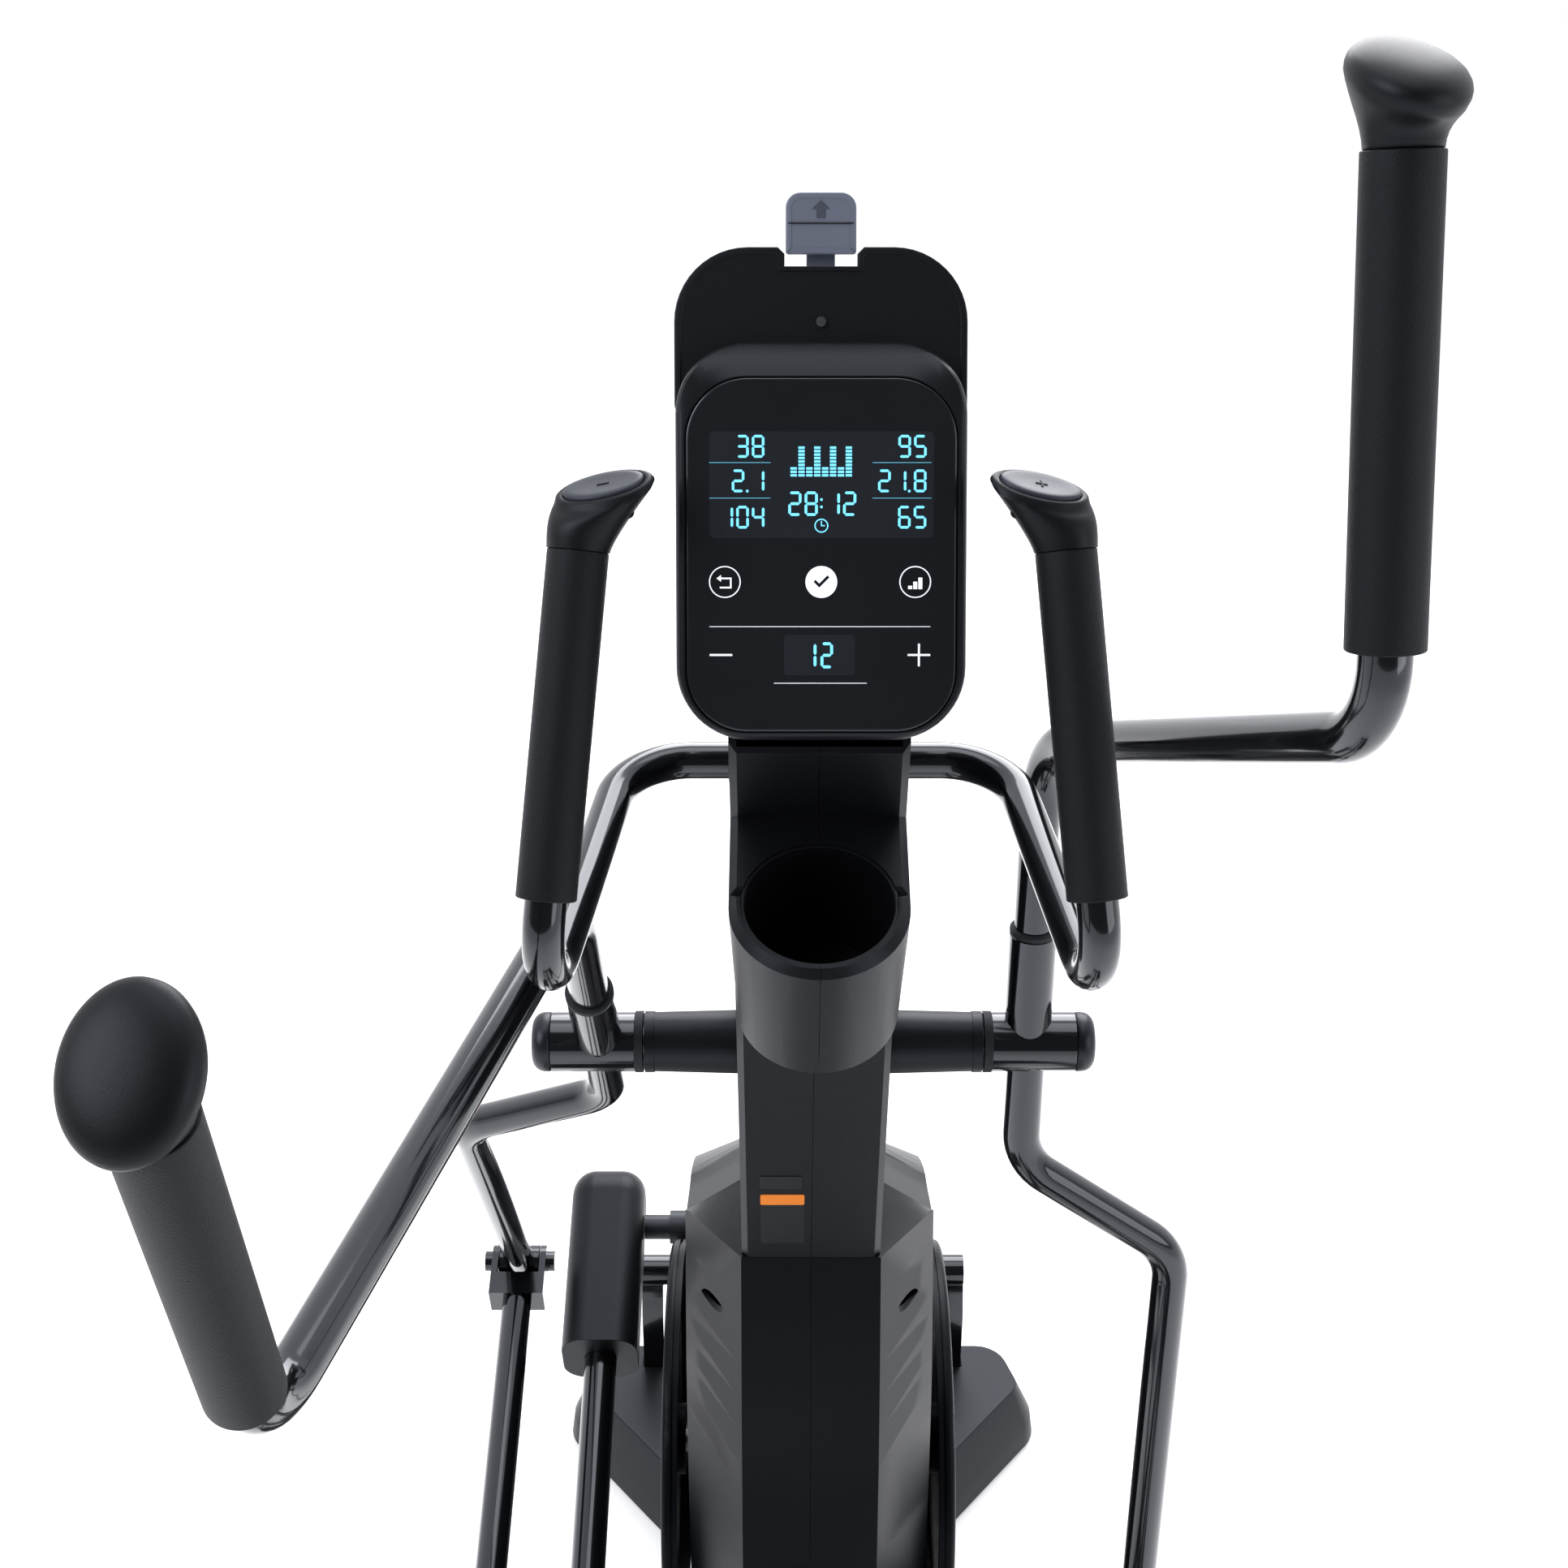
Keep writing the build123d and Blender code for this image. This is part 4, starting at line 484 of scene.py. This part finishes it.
def digit(char, left, base, width, height, stroke):
    """Seven-segment digit as (vertices, faces) on the console's face."""
    mid, gap, half = base + height / 2, stroke * 0.12, stroke / 2
    x0, x1, y0, y1 = left + half, left + width - half, base + half, base + height - half
    ends = {"a": ((x0, y1), (x1, y1)), "b": ((x1, mid), (x1, y1)), "c": ((x1, y0), (x1, mid)),
            "d": ((x0, y0), (x1, y0)), "e": ((x0, y0), (x0, mid)), "f": ((x0, mid), (x0, y1)),
            "g": ((x0, mid), (x1, mid))}
    parts = []
    for name in SEGMENTS[char]:
        (ax, ay), (bx, by) = ends[name]
        length = math.hypot(bx - ax, by - ay)
        ux, uy = (bx - ax) / length, (by - ay) / length
        shape = [(gap, 0), (gap + half, -half), (length - gap - half, -half), (length - gap, 0),
                 (length - gap - half, half), (gap + half, half)]
        parts.append(strip([(ax + ux * s - uy * t, ay + uy * s + ux * t) for s, t in shape]))
    return parts


def strip(outline, low=PRINT_LOW, high=PRINT_HIGH):
    """Thin printed shape on the glass."""
    return loft([[console(x, up, out) for x, up in outline] for out in (low, high)])


def bar_shape(x0, x1, up0, up1, low=PRINT_LOW, high=PRINT_HIGH):
    """Printed bar."""
    return strip([(x0, up0), (x1, up0), (x1, up1), (x0, up1)], low, high)


def ring_shape(x, up, outer, inner, count=40):
    """Printed ring."""
    rows = []
    turns = [2 * math.pi * i / count for i in range(count)]
    for radius, out in ((outer, PRINT_LOW), (outer, PRINT_HIGH), (inner, PRINT_HIGH), (inner, PRINT_LOW)):
        rows.append([console(x + radius * math.cos(t), up + radius * math.sin(t), out) for t in turns])
    verts, faces = loft(rows, caps=(False, False))
    last = 3 * count
    faces += [(last + i, last + (i + 1) % count, (i + 1) % count, i) for i in range(count)]
    return verts, faces


def number(text, right, base, height=0.0133, pitch=0.0092, width=0.0074, stroke=0.0015):
    """A number that ends at the right edge; a full stop takes little room."""
    parts, x = [], right
    for char in reversed(text):
        if char == ".":
            parts.append(bar_shape(x - 0.0016, x - 0.0002, base, base + 0.0014))
            x -= 0.0026
        elif char == ":":
            for up in (0.32, 0.62):
                parts.append(bar_shape(x - 0.0020, x - 0.0006, base + height * up, base + height * up + 0.0014))
            x -= 0.0034
        else:
            parts += digit(char, x - width, base, width, height, stroke)
            x -= pitch
    return parts


def display():
    """Numbers, bars, rules and key signs of the console, as thin print on the glass."""
    window = rounded(0.132, 0.1195, 0.1816, 0.003, steps=4)
    small = rounded(0.042, 0.0387, 0.0626, 0.002, steps=4)
    shift = [(x - 0.001, up) for x, up in small]
    panes = together(loft([[console(x, up, out) for x, up in window] for out in (-0.0002, 0.00003)]),
                     loft([[console(x, up, out) for x, up in shift] for out in (-0.0002, 0.00003)]))
    add("display_windows", *panes, "root", "glass", mat=WINDOW)
    parts = []
    for text, right, base in READOUTS:
        parts += number(text, right, base)
    parts += number("28:12", 0.0205, 0.1324, height=0.0143, pitch=0.0096, width=0.0078, stroke=0.0016)
    parts += number("12", 0.0070, 0.0428, height=0.0154, pitch=0.0098, width=0.0074, stroke=0.0017)
    for column in range(8):
        x0 = GRAPH_LEFT + column * GRAPH_PITCH
        rows = 3 if column % 2 == 0 else 9
        for row in range(rows):
            up = GRAPH_FOOT + row * GRAPH_STEP
            parts.append(bar_shape(x0, x0 + 0.0037, up, up + 0.0014))
    parts.append(ring_shape(0, CLOCK_UP, 0.0041, 0.0034))
    parts.append(bar_shape(-0.0003, 0.0003, CLOCK_UP, 0.1295))
    parts.append(bar_shape(-0.0003, 0.0021, 0.1264, 0.1270))
    for x0, x1, up in ((RULE_LEFT, -0.030, 0.1635), (0.030, RULE_RIGHT, 0.1635), (RULE_LEFT, -0.030, 0.1428),
                       (0.030, RULE_RIGHT, 0.1428)):
        parts.append(bar_shape(x0, x1, up - 0.0001, up + 0.0001))
    add("display_numbers", *together(*parts), "root", "glass", mat=LCD)

    keys = []
    for x in (QUIT_X, PROGRAM_X):
        keys.append(ring_shape(x, KEY_UP, KEY_RADIUS, 0.0087))
    turns = [2 * math.pi * i / 48 for i in range(48)]
    keys.append(strip([(KEY_RADIUS * math.cos(t), KEY_UP + KEY_RADIUS * math.sin(t)) for t in turns]))
    arrow_x = QUIT_X
    keys.append(bar_shape(arrow_x - 0.0030, arrow_x + 0.0030, 0.0953, 0.0963))
    keys.append(strip([(arrow_x - 0.0050, 0.0958), (arrow_x - 0.0022, 0.0938), (arrow_x - 0.0022, 0.0978)]))
    keys.append(bar_shape(arrow_x + 0.0030, arrow_x + 0.0040, 0.0908, 0.0963))
    keys.append(bar_shape(arrow_x - 0.0030, arrow_x + 0.0040, 0.0899, 0.0909))
    for step in range(3):
        x0 = PROGRAM_X - 0.0042 + step * 0.0030
        keys.append(bar_shape(x0, x0 + 0.0024, 0.0895, 0.0915 + step * 0.0024))
    keys.append(bar_shape(RULE_LEFT, RULE_RIGHT, 0.0672, 0.0676))
    keys.append(bar_shape(-0.028, 0.027, 0.0338, 0.0342))
    keys.append(bar_shape(RULE_LEFT, -0.0526, 0.0501, 0.0513))
    keys.append(bar_shape(0.0511, RULE_RIGHT, 0.0501, 0.0513))
    keys.append(bar_shape(0.0572, 0.0584, 0.0440, 0.0574))
    # The key signs glow faintly: painted light on print.
    add("key_signs", *together(*keys), "root", "glass", mat=KEY_PRINT_GLOW)
    tick = [(-0.0046, 0.0938), (-0.0034, 0.0950), (-0.0012, 0.0928), (0.0036, 0.0976), (0.0048, 0.0964),
            (-0.0012, 0.0904)]
    add("key_tick", *strip(tick, 0.0001, 0.00026), "root", "glass", mat=PRINT_BLACK)


def rest_and_clip():
    """Tablet plate with a rim and a notch, and the sliding clip with its arrow."""
    outline = rounded(REST_WIDTH, REST_LOW, REST_TOP, 0.010, steps=12, top_radius=0.044)
    notch, deep = CLIP_WIDTH / 2 + 0.0007, REST_TOP - 0.0112
    cut = [(notch + 0.004, REST_TOP), (notch, REST_TOP - 0.004), (notch, deep), (-notch, deep),
           (-notch, REST_TOP - 0.004), (-notch - 0.004, REST_TOP)]
    right = [p for p in outline if p[0] > 0 and p[1] > REST_LOW + 0.02]
    left = [p for p in outline if p[0] < 0 and p[1] > REST_LOW + 0.02]
    low_right = [p for p in outline if p[0] > 0 and p[1] <= REST_LOW + 0.02]
    low_left = [p for p in outline if p[0] < 0 and p[1] <= REST_LOW + 0.02]
    points = [*low_right, *right, *cut, *left, *low_left]
    bm = plate(points, console, REST_BACK, REST_FRONT, bevel=0.0008, inset=(0.0028, 0.0007))
    from_bm("tablet_rest_plate", bm, "root", "cover_plastic", stands_for=["tablet_rest"])
    spine = []
    for x0, x1 in ((-0.013, -0.009), (0.009, 0.013)):
        bm = plate([(x0, 0.201), (x1, 0.201), (x1, 0.280), (x0, 0.280)], console, -0.0438, REST_BACK + 0.0002,
                   bevel=0.0004)
        from_bm(f"tablet_rest_guide_{'a' if x0 < 0 else 'b'}", bm, "root", "cover_plastic")
    bm = plate([(-0.013, 0.201), (0.013, 0.201), (0.013, 0.280), (-0.013, 0.280)], console, -0.0438, -0.0406,
               bevel=0.0004)
    from_bm("tablet_rest_guide_back", bm, "root", "cover_plastic")
    half = CLIP_WIDTH / 2
    head = rounded(CLIP_WIDTH, REST_TOP - 0.004, REST_TOP + 0.032, 0.002, steps=8, top_radius=0.009)
    bm = plate(head, console, -0.0315, -0.0265, bevel=0.0011, inset=(0.0022, 0.0004))
    from_bm("tablet_clip_head", bm, "tablet_clip", "clip_grey", stands_for=["tablet_clip"])
    bm = plate([(-0.0085, 0.2255), (0.0085, 0.2255), (0.0085, 0.2985), (-0.0085, 0.2985)], console, -0.040, -0.036,
               bevel=0.0006)
    from_bm("tablet_clip_stem", bm, "tablet_clip", "clip_grey")
    bm = plate([(-0.0085, 0.2975), (0.0085, 0.2975), (0.0085, 0.3015), (-0.0085, 0.3015)], console, -0.0395, -0.030,
               bevel=0.0003)
    from_bm("tablet_clip_joint", bm, "tablet_clip", "clip_grey")
    # A thin near-black plate along the clip's crease: painted shade.
    crease = REST_TOP + 0.0135
    bm = plate([(-half + 0.0015, crease), (half - 0.0015, crease), (half - 0.0015, crease + 0.0008),
                (-half + 0.0015, crease + 0.0008)], console, -0.0272, -0.0262, bevel=0.0001)
    from_bm("tablet_clip_crease_shade", bm, "tablet_clip", "clip_grey", mat=RECESS_SHADE)
    tip = REST_TOP + 0.0275
    arrow = [(0, tip), (-0.0052, tip - 0.0052), (-0.0026, tip - 0.0052), (-0.0026, tip - 0.0105), (0.0026, tip - 0.0105),
             (0.0026, tip - 0.0052), (0.0052, tip - 0.0052)]
    # The raised arrow is coloured darker than the clip: painted shade of an engraving.
    add("tablet_clip_arrow", *loft([[console(x, up, out) for x, up in arrow] for out in (-0.0272, -0.02655)]),
        "tablet_clip", "clip_grey", mat=finish("clip_engraving_shade", srgb(62, 66, 78), 0.5, grain=900.0))
    return spine


# --- Fixed handlebar ---
def foam_profile(length, radius, bore):
    """Foam sleeve with rolled ends."""
    roll = 0.0009
    start = [(0.0, bore), (0.0, radius - roll)]
    start += [(roll * (1 - math.cos(math.radians(a))), radius - roll + roll * math.sin(math.radians(a)))
              for a in (20, 45, 70, 90)]
    return start + [(length - along, r) for along, r in reversed(start)]


def stations(profile, step=0.012):
    """The profile with more rings along its long run."""
    out = [profile[0]]
    for (a, ra), (b, rb) in zip(profile, profile[1:]):
        count = max(1, int(abs(b - a) / step))
        out += [(a + (b - a) * i / count, ra + (rb - ra) * i / count) for i in range(1, count + 1)]
    return out


def fixed_handlebar():
    half = [HANDLE_TOP, HANDLE_TURN, HANDLE_CROSS]
    right = [at(*p) for p in half]
    left = [at(-x, y, z) for x, y, z in half]
    line = route([*left, *reversed(right)], [0.036, 0.052, 0.052, 0.036])
    add("fixed_handlebar_tube", *swept(line, HANDLE_RADIUS), "root", "tube_black", stands_for=["fixed_handlebar"])
    collars = []
    for name, side in SIDES.items():
        top, turn = at(side * HANDLE_TOP[0], *HANDLE_TOP[1:]), at(side * HANDLE_TURN[0], *HANDLE_TURN[1:])
        along = (top - turn).normalized()
        low = top - along * HANDLE_GRIP_LENGTH
        profile = stations(foam_profile(HANDLE_GRIP_LENGTH - 0.0002, HANDLE_GRIP_RADIUS, HANDLE_RADIUS))
        extra = {"stands_for": ["fixed_grips"]} if side < 0 else {}
        grip = add(f"fixed_grip_foam_{name}", *turned(low, along, profile, 72), "root", "foam", **extra)
        origin = at(side * (0.0565 + 0.0005), -0.030, 1.274)
        collars.append(turned(origin, Vector((side, 0, 0)), [(0, HANDLE_RADIUS + 0.0002), (0, HANDLE_RADIUS + 0.0035),
                                                             (0.0015, HANDLE_RADIUS + 0.0035),
                                                             (0.0025, HANDLE_RADIUS + 0.0022),
                                                             (0.0025, HANDLE_RADIUS + 0.0002)], 48))
        fixed_head(name, side, top, along)
    add("fixed_handlebar_grommets", *together(*collars), "root", "rubber")


def head_frame(along):
    """Axes on a grip's top: X to the right, Z along the grip."""
    x_axis = (Vector((1, 0, 0)) - along * along.x).normalized()
    return Matrix((x_axis, along.cross(x_axis), along)).transposed()


def head_tilt(side, share=1.0):
    """Lean of the button's seat to the user and outwards, or a share of it."""
    return (Matrix.Rotation(HEAD_TILT[0] * share, 3, "X") @ Matrix.Rotation(side * HEAD_TILT[1] * share, 3, "Y"))


def head_ring(side, top, base, local, radii, share=1.0, out=0.0, count=72):
    """Ellipse on a grip's head round a local centre, moved out along its own normal."""
    spin = head_tilt(side, share)
    ring = []
    for i in range(count):
        t = 2 * math.pi * i / count
        p = spin @ Vector((radii[0] * math.cos(t), radii[1] * math.sin(t), out))
        ring.append(top + base @ (p + Vector(local)))
    return ring


def fixed_head(name, side, top, along):
    """Bent head that ends in a slanted seat with an elliptical button."""
    base = head_frame(along)
    seat = (-side * HEAD_REACH[0], HEAD_REACH[1], HEAD_REACH[2])
    steps = []
    for k in range(13):
        t = k / 12
        share = t**1.35
        local = (seat[0] * t**1.5, seat[1] * t**1.3, seat[2] * 0.86 * t)
        radii = (0.0184 + 0.0112 * t**1.25, 0.0184 + 0.0020 * t - 0.0006 * t * t)
        steps.append(head_ring(side, top, base, local, radii, share))
    foot = head_ring(side, top, base, (0, 0, 0), (0.0178, 0.0178), 0)
    rings = [foot, *steps]
    for out, radii in ((-0.0024, (0.0299, 0.0198)), (-0.0009, (0.0292, 0.0191)), (-0.0001, (0.0279, 0.0178)),
                       (0.0001, (0.0268, 0.0170)), (-0.0002, (0.0252, 0.0158)), (-0.0008, (0.02480, 0.01530)),
                       (-0.0046, (0.0248, 0.0153))):
        rings.append(head_ring(side, top, base, seat, radii, 1.0, out))
    extra = {"stands_for": ["fixed_heads"]} if side < 0 else {}
    add(f"fixed_head_shell_{name}", *loft(rings), "root", "knob_plastic", sharp=42, **extra)
    rows = [head_ring(side, top, base, seat, radii, 1.0, out)
            for out, radii in ((-0.0046, (0.0244, 0.0149)), (0.0006, (0.0244, 0.0149)), (0.0013, (0.0240, 0.0145)),
                               (0.0018, (0.0230, 0.0136)), (0.0019, (0.0200, 0.0112)), (0.0016, (0.0140, 0.0078)),
                               (0.0014, (0.0060, 0.0034)))]
    add(f"thumb_button_pad_{name}", *loft(rows), f"thumb_button_{name}", "button_plastic", sharp=50,
        stands_for=[f"thumb_button_{name}"])
    signs = []
    for wide, deep in (((0.0036, 0.0005), (0.0005, 0.0036)) if side > 0 else ((0.0036, 0.0005),)):
        rows = []
        for out in (0.0008, 0.0019):
            spin = head_tilt(side)
            rows.append([top + base @ (Vector(seat) + spin @ Vector((x, y, out)))
                         for x, y in ((-wide, -deep), (wide, -deep), (wide, deep), (-wide, deep))])
        signs.append(loft(rows))
    # The signs are coloured with the painted recess shade.
    add(f"thumb_button_sign_{name}", *together(*signs), f"thumb_button_{name}", "button_plastic", mat=RECESS_SHADE)
    # A near-black plug in the head's underside hole: painted shade of the hole.
    under = top + base @ Vector((-side * 0.0285, -0.0085, 0.0230))
    normal = (base @ Vector((-side * 0.62, -0.55, -0.50))).normalized()
    add(f"fixed_head_hole_shade_{name}", *turned(under - normal * 0.003, normal, [
        (0, 0.0031), (0.0030, 0.0031), (0.0034, 0.0027), (0.0030, 0.0019), (0.0022, 0.0016)], 28), "root",
        "knob_plastic", mat=RECESS_SHADE)


# --- Swing arms ---
def arm_matrix(name):
    """Turns a point drawn at mid swing to where the arm rests."""
    low, high = JOINTS[f"arm_swing_{name}"]["range_deg"]
    return Matrix.Rotation(math.radians(-(low + high) / 2), 3, "X")


def swing_arm(name, side):
    body = f"swing_arm_{name}"
    turn = arm_matrix(name)

    def p(x, y, z):
        v = turn @ Vector((side * x, y, z))
        return Vector((v.x, v.y + AXIS_Y, v.z + AXIS_Z))

    def d(x, y, z):
        return turn @ Vector((side * x, y, z))

    pivot = p(ARM_X, 0, 0)
    bend = p(*ARM_UPPER_BEND)
    rise = (bend - pivot).normalized()
    upper = route([pivot + rise * 0.030, bend, p(*ARM_GRIP_BEND), p(*ARM_GRIP_TOP)], [0.070, 0.050])
    add(f"arm_upper_tube_{name}", *swept(upper, ARM_TUBE), body, "tube_black", stands_for=[f"arm_upper_{name}"])
    lower = route([p(*q) for q in ARM_LOWER], [0.052, 0.052])
    lower[0] = lower[0] + (lower[1] - lower[0]).normalized() * 0.014
    out = Vector((side, 0, 0))
    sleeve_in, sleeve_out, sleeve = 0.127, 0.197, 0.0223
    sleeve_at = Vector((0, AXIS_Y, AXIS_Z))
    hub = [swept(lower, ARM_TUBE)]
    hub.append(turned(sleeve_at + out * sleeve_in, out, [
        (0, 0.01255), (0, sleeve - 0.0008), (0.0008, sleeve), (sleeve_out - sleeve_in - 0.0008, sleeve),
        (sleeve_out - sleeve_in, sleeve - 0.0008), (sleeve_out - sleeve_in, 0.01255)], 72))
    collar = 0.0175
    hub.append(turned(pivot + rise * 0.010, rise, [
        (0, 0.0120), (0, collar), (0.080, collar), (0.0852, collar), (0.086, collar - 0.0008), (0.086, ARM_TUBE + 0.0001)], 72))
    width, radius = 0.040, 0.016
    eye = p(ARM_EYE_X, *ARM_EYE)
    hub.append(turned(eye - out * (width / 2), out, [
        (0, 0.00605), (0, radius - 0.0008), (0.0008, radius), (width - 0.0008, radius), (width, radius - 0.0008),
        (width, 0.00605)], 64))
    add(f"arm_hub_tube_{name}", *together(*hub), body, "tube_black", stands_for=[f"arm_hub_{name}"])
    rings = [turned(pivot + rise * 0.0962, rise, [(0, ARM_TUBE + 0.0001), (0, collar - 0.0004), (0.0012, collar),
                                                  (0.0034, collar), (0.0046, collar - 0.0012),
                                                  (0.0050, ARM_TUBE + 0.0001)], 64)]
    rings.append(turned(sleeve_at + out * (sleeve_in + 0.0006), out, [(0, sleeve + 0.0001), (0, sleeve + 0.0008),
                                                                    (0.0060, sleeve + 0.0008),
                                                                    (0.0064, sleeve + 0.0001)], 64))
    add(f"arm_collar_ring_{name}", *together(*rings), body, "rubber")

    top = p(*ARM_GRIP_TOP)
    low = p(*ARM_GRIP_BEND)
    along = (top - low).normalized()
    foot = low + along * ARM_GRIP_START
    length = (top - foot).length
    profile = stations(foam_profile(length - 0.0002, ARM_GRIP_RADIUS, ARM_TUBE))
    grip = add(f"arm_grip_foam_{name}", *turned(foot, along, profile, 72), body, "foam",
               stands_for=[f"arm_grip_{name}"])
    base = head_frame(along)
    shape = [(0.0000, 0.0188, 0.0188, 0.0), (0.0004, 0.0196, 0.0196, 0.0), (0.0045, 0.0200, 0.0203, 0.06),
             (0.0090, 0.0211, 0.0224, 0.20), (0.0135, 0.0228, 0.0252, 0.38), (0.0180, 0.0250, 0.0286, 0.57),
             (0.0225, 0.0272, 0.0322, 0.76), (0.0265, 0.0290, 0.0353, 0.90), (0.0300, 0.0302, 0.0374, 1.0),
             (0.0330, 0.0307, 0.0383, 1.0), (0.0360, 0.0304, 0.0380, 1.0), (0.0388, 0.0291, 0.0364, 1.0),
             (0.0412, 0.0268, 0.0336, 1.0), (0.0432, 0.0234, 0.0294, 1.0), (0.0448, 0.0189, 0.0238, 1.0),
             (0.0460, 0.0134, 0.0169, 1.0), (0.0467, 0.0070, 0.0089, 1.0), (0.0469, 0.0015, 0.0019, 1.0)]
    rings = []
    for h, w, deep, lean in shape:
        spin = (Matrix.Rotation(KNOB_TILT[0] * lean, 3, "X") @ Matrix.Rotation(side * KNOB_TILT[1] * lean, 3, "Y"))
        seat_height = min(h, 0.0300)
        rings.append([top + base @ (spin @ Vector((w * math.cos(t), deep * math.sin(t), h - seat_height))
                                    + Vector((0, 0, seat_height)))
                      for t in (2 * math.pi * k / 96 for k in range(96))])
    add(f"arm_knob_form_{name}", *loft(rings), body, "knob_plastic", sharp=60, stands_for=[f"arm_knob_{name}"])

    cap = [(0, 0.0130), (0.0, sleeve - 0.0006), (0.0006, sleeve), (0.0046, sleeve)]
    cap += [(0.0046 + 0.0094 * math.sin(math.radians(a)), sleeve - 0.0094 + 0.0094 * math.cos(math.radians(a)))
            for a in (15, 30, 45, 60, 75, 90)]
    cap += [(0.0140, 0.004), (0.0140, 0.001)]
    add(f"arm_cap_dome_{name}", *turned(sleeve_at + out * sleeve_out, out, cap, 72), body, "cap_plastic", sharp=50,
        stands_for=[f"arm_cap_{name}"])


# --- Labels, foot, housing and bars: the CAD shapes with rounded edges, and what is printed or sunk into them ---
def mast_labels():
    """Plain plates on the lower mast: a dark strip, and an orange band above a black field."""
    cover = frame["nodes"]["mast_cover_left"]
    tree = BVHTree.FromPolygons([cover.matrix_world @ v.co for v in cover.data.vertices],
                                [tuple(face.vertices) for face in cover.data.polygons])

    def on_mast(x, height, out):
        hit = tree.ray_cast(at(x, -1.0, height), Vector((0, 1, 0)))
        return hit[0] + hit[1] * out

    for label, low, high, left, right, mat in (
            ("mast_label_field", 0.8000, 0.8510, -0.0407, -0.0059, PRINT_BLACK),
            ("mast_label_band", 0.8510, 0.8640, -0.0407, -0.0059, ORANGE),
            ("mast_label_strip", 0.8720, 0.8880, -0.0413, -0.0079, PRINT_BLACK)):
        outline = rounded(right - left, low, high, 0.0016, steps=4)
        outline = [(x + (left + right) / 2, z) for x, z in outline]
        rows = [[on_mast(x, z, out) for x, z in outline] for out in (-0.0008, 0.0004, 0.0005)]
        add(label, *loft(rows), "root", "mast_plastic", mat=mat)


REFINED = {
    "mast_cover_left": ("root", "mast_plastic"), "mast_cover_right": ("root", "mast_plastic"),
    "housing_left": ("root", "housing_plastic"), "housing_right": ("root", "housing_plastic"),
    "front_foot_cover": ("root", "cover_plastic"), "bottle_cup": ("root", "cover_plastic"),
    "axle_covers": ("root", "cover_plastic"), "lift_handle": ("root", "tube_black"),
    "bar_cap_left": ("roller_bar_left", "cover_plastic"), "bar_cap_right": ("roller_bar_right", "cover_plastic"),
    "pedal_left": ("link_left", "pedal_plastic"), "pedal_right": ("link_right", "pedal_plastic"),
    "crank_discs": ("crank", "housing_plastic"),
}


def carried_over():
    """Every other CAD node keeps its shape and gets its procedural finish."""
    for node in frame["nodes"].values():
        for slot in node.material_slots:
            name = slot.material.name.split(".")[0]
            slot.material = LOOKS[name if name in LOOKS else "frame_steel"]
        for k, mat in enumerate(node.data.materials):
            name = mat.name.split(".")[0]
            if name in LOOKS:
                node.data.materials[k] = LOOKS[name]


def studio():
    """Pale floor, soft white light from all round, and the camera."""
    world = bpy.data.worlds.new("studio")
    world.use_nodes = True
    nodes, links = world.node_tree.nodes, world.node_tree.links
    place = nodes.new("ShaderNodeTexCoord")
    parts = nodes.new("ShaderNodeSeparateXYZ")
    links.new(place.outputs["Generated"], parts.inputs["Vector"])
    ramp = nodes.new("ShaderNodeMapRange")
    ramp.interpolation_type = "SMOOTHSTEP"
    ramp.inputs["From Min"].default_value = -0.55
    ramp.inputs["From Max"].default_value = 0.45
    ramp.inputs["To Min"].default_value = STUDIO_FRONT
    ramp.inputs["To Max"].default_value = STUDIO_BACK
    links.new(parts.outputs["Y"], ramp.inputs["Value"])
    background = nodes["Background"]
    background.inputs["Color"].default_value = (0.95, 0.96, 1.0, 1.0)
    links.new(ramp.outputs["Result"], background.inputs["Strength"])
    bpy.context.scene.world = world
    mesh = bpy.data.meshes.new("floor")
    corners = [(x * FLOOR_REACH, y * FLOOR_REACH, 0) for x, y in ((-1, -1), (1, -1), (1, 1), (-1, 1))]
    mesh.from_pydata(corners, [], [(0, 1, 2, 3)])
    floor = bpy.data.objects.new("floor", mesh)
    bpy.context.scene.collection.objects.link(floor)
    floor_white = finish("floor_white", (0.90, 0.90, 0.91, 1.0), 0.7, mottle=0.01, grain=30.0, bump=0.00005)
    floor_white.node_tree.nodes["Principled BSDF"].inputs["Emission Color"].default_value = (1.0, 1.0, 1.0, 1.0)
    floor_white.node_tree.nodes["Principled BSDF"].inputs["Emission Strength"].default_value = 0.35
    mesh.materials.append(floor_white)
    for name, place, aim, size, power in (
            ("key", (-2.4, -1.4, 3.4), (0, 0, 0.9), 2.0, 70),
            ("fill", (2.8, -1.8, 2.2), (0, 0, 0.9), 2.4, 40),
            ("rim", (0.6, 3.0, 3.0), (0, 0, 1.0), 2.6, 110),
            ("top", (0.0, 0.2, 4.2), (0, 0, 0.5), 2.2, 25)):
        light = bpy.data.lights.new(name, "AREA")
        light.shape = "SQUARE"
        light.size = size
        light.energy = power
        obj = bpy.data.objects.new(name, light)
        bpy.context.scene.collection.objects.link(obj)
        obj.location = place
        obj.rotation_euler = (Vector(aim) - Vector(place)).to_track_quat("-Z", "Y").to_euler()
    camera = bpy.data.cameras.new("camera")
    camera.sensor_width = 36.0
    camera.lens = LENS
    eye = bpy.data.objects.new("camera", camera)
    eye.location = Vector((EYE_PLACE[0], AXIS_Y + EYE_PLACE[1], AXIS_Z + EYE_PLACE[2]))
    eye.rotation_euler = (EYE_PITCH, 0, 0)
    bpy.context.scene.collection.objects.link(eye)
    bpy.context.scene.camera = eye
    bpy.context.scene.view_settings.view_transform = "Standard"


studio()
console_parts()
display()
rest_and_clip()
fixed_handlebar()
for side_name, side_sign in SIDES.items():
    swing_arm(side_name, side_sign)
mast_labels()
for node_name, (body_name, slot_name) in REFINED.items():
    refine(node_name, body_name, slot_name)
carried_over()
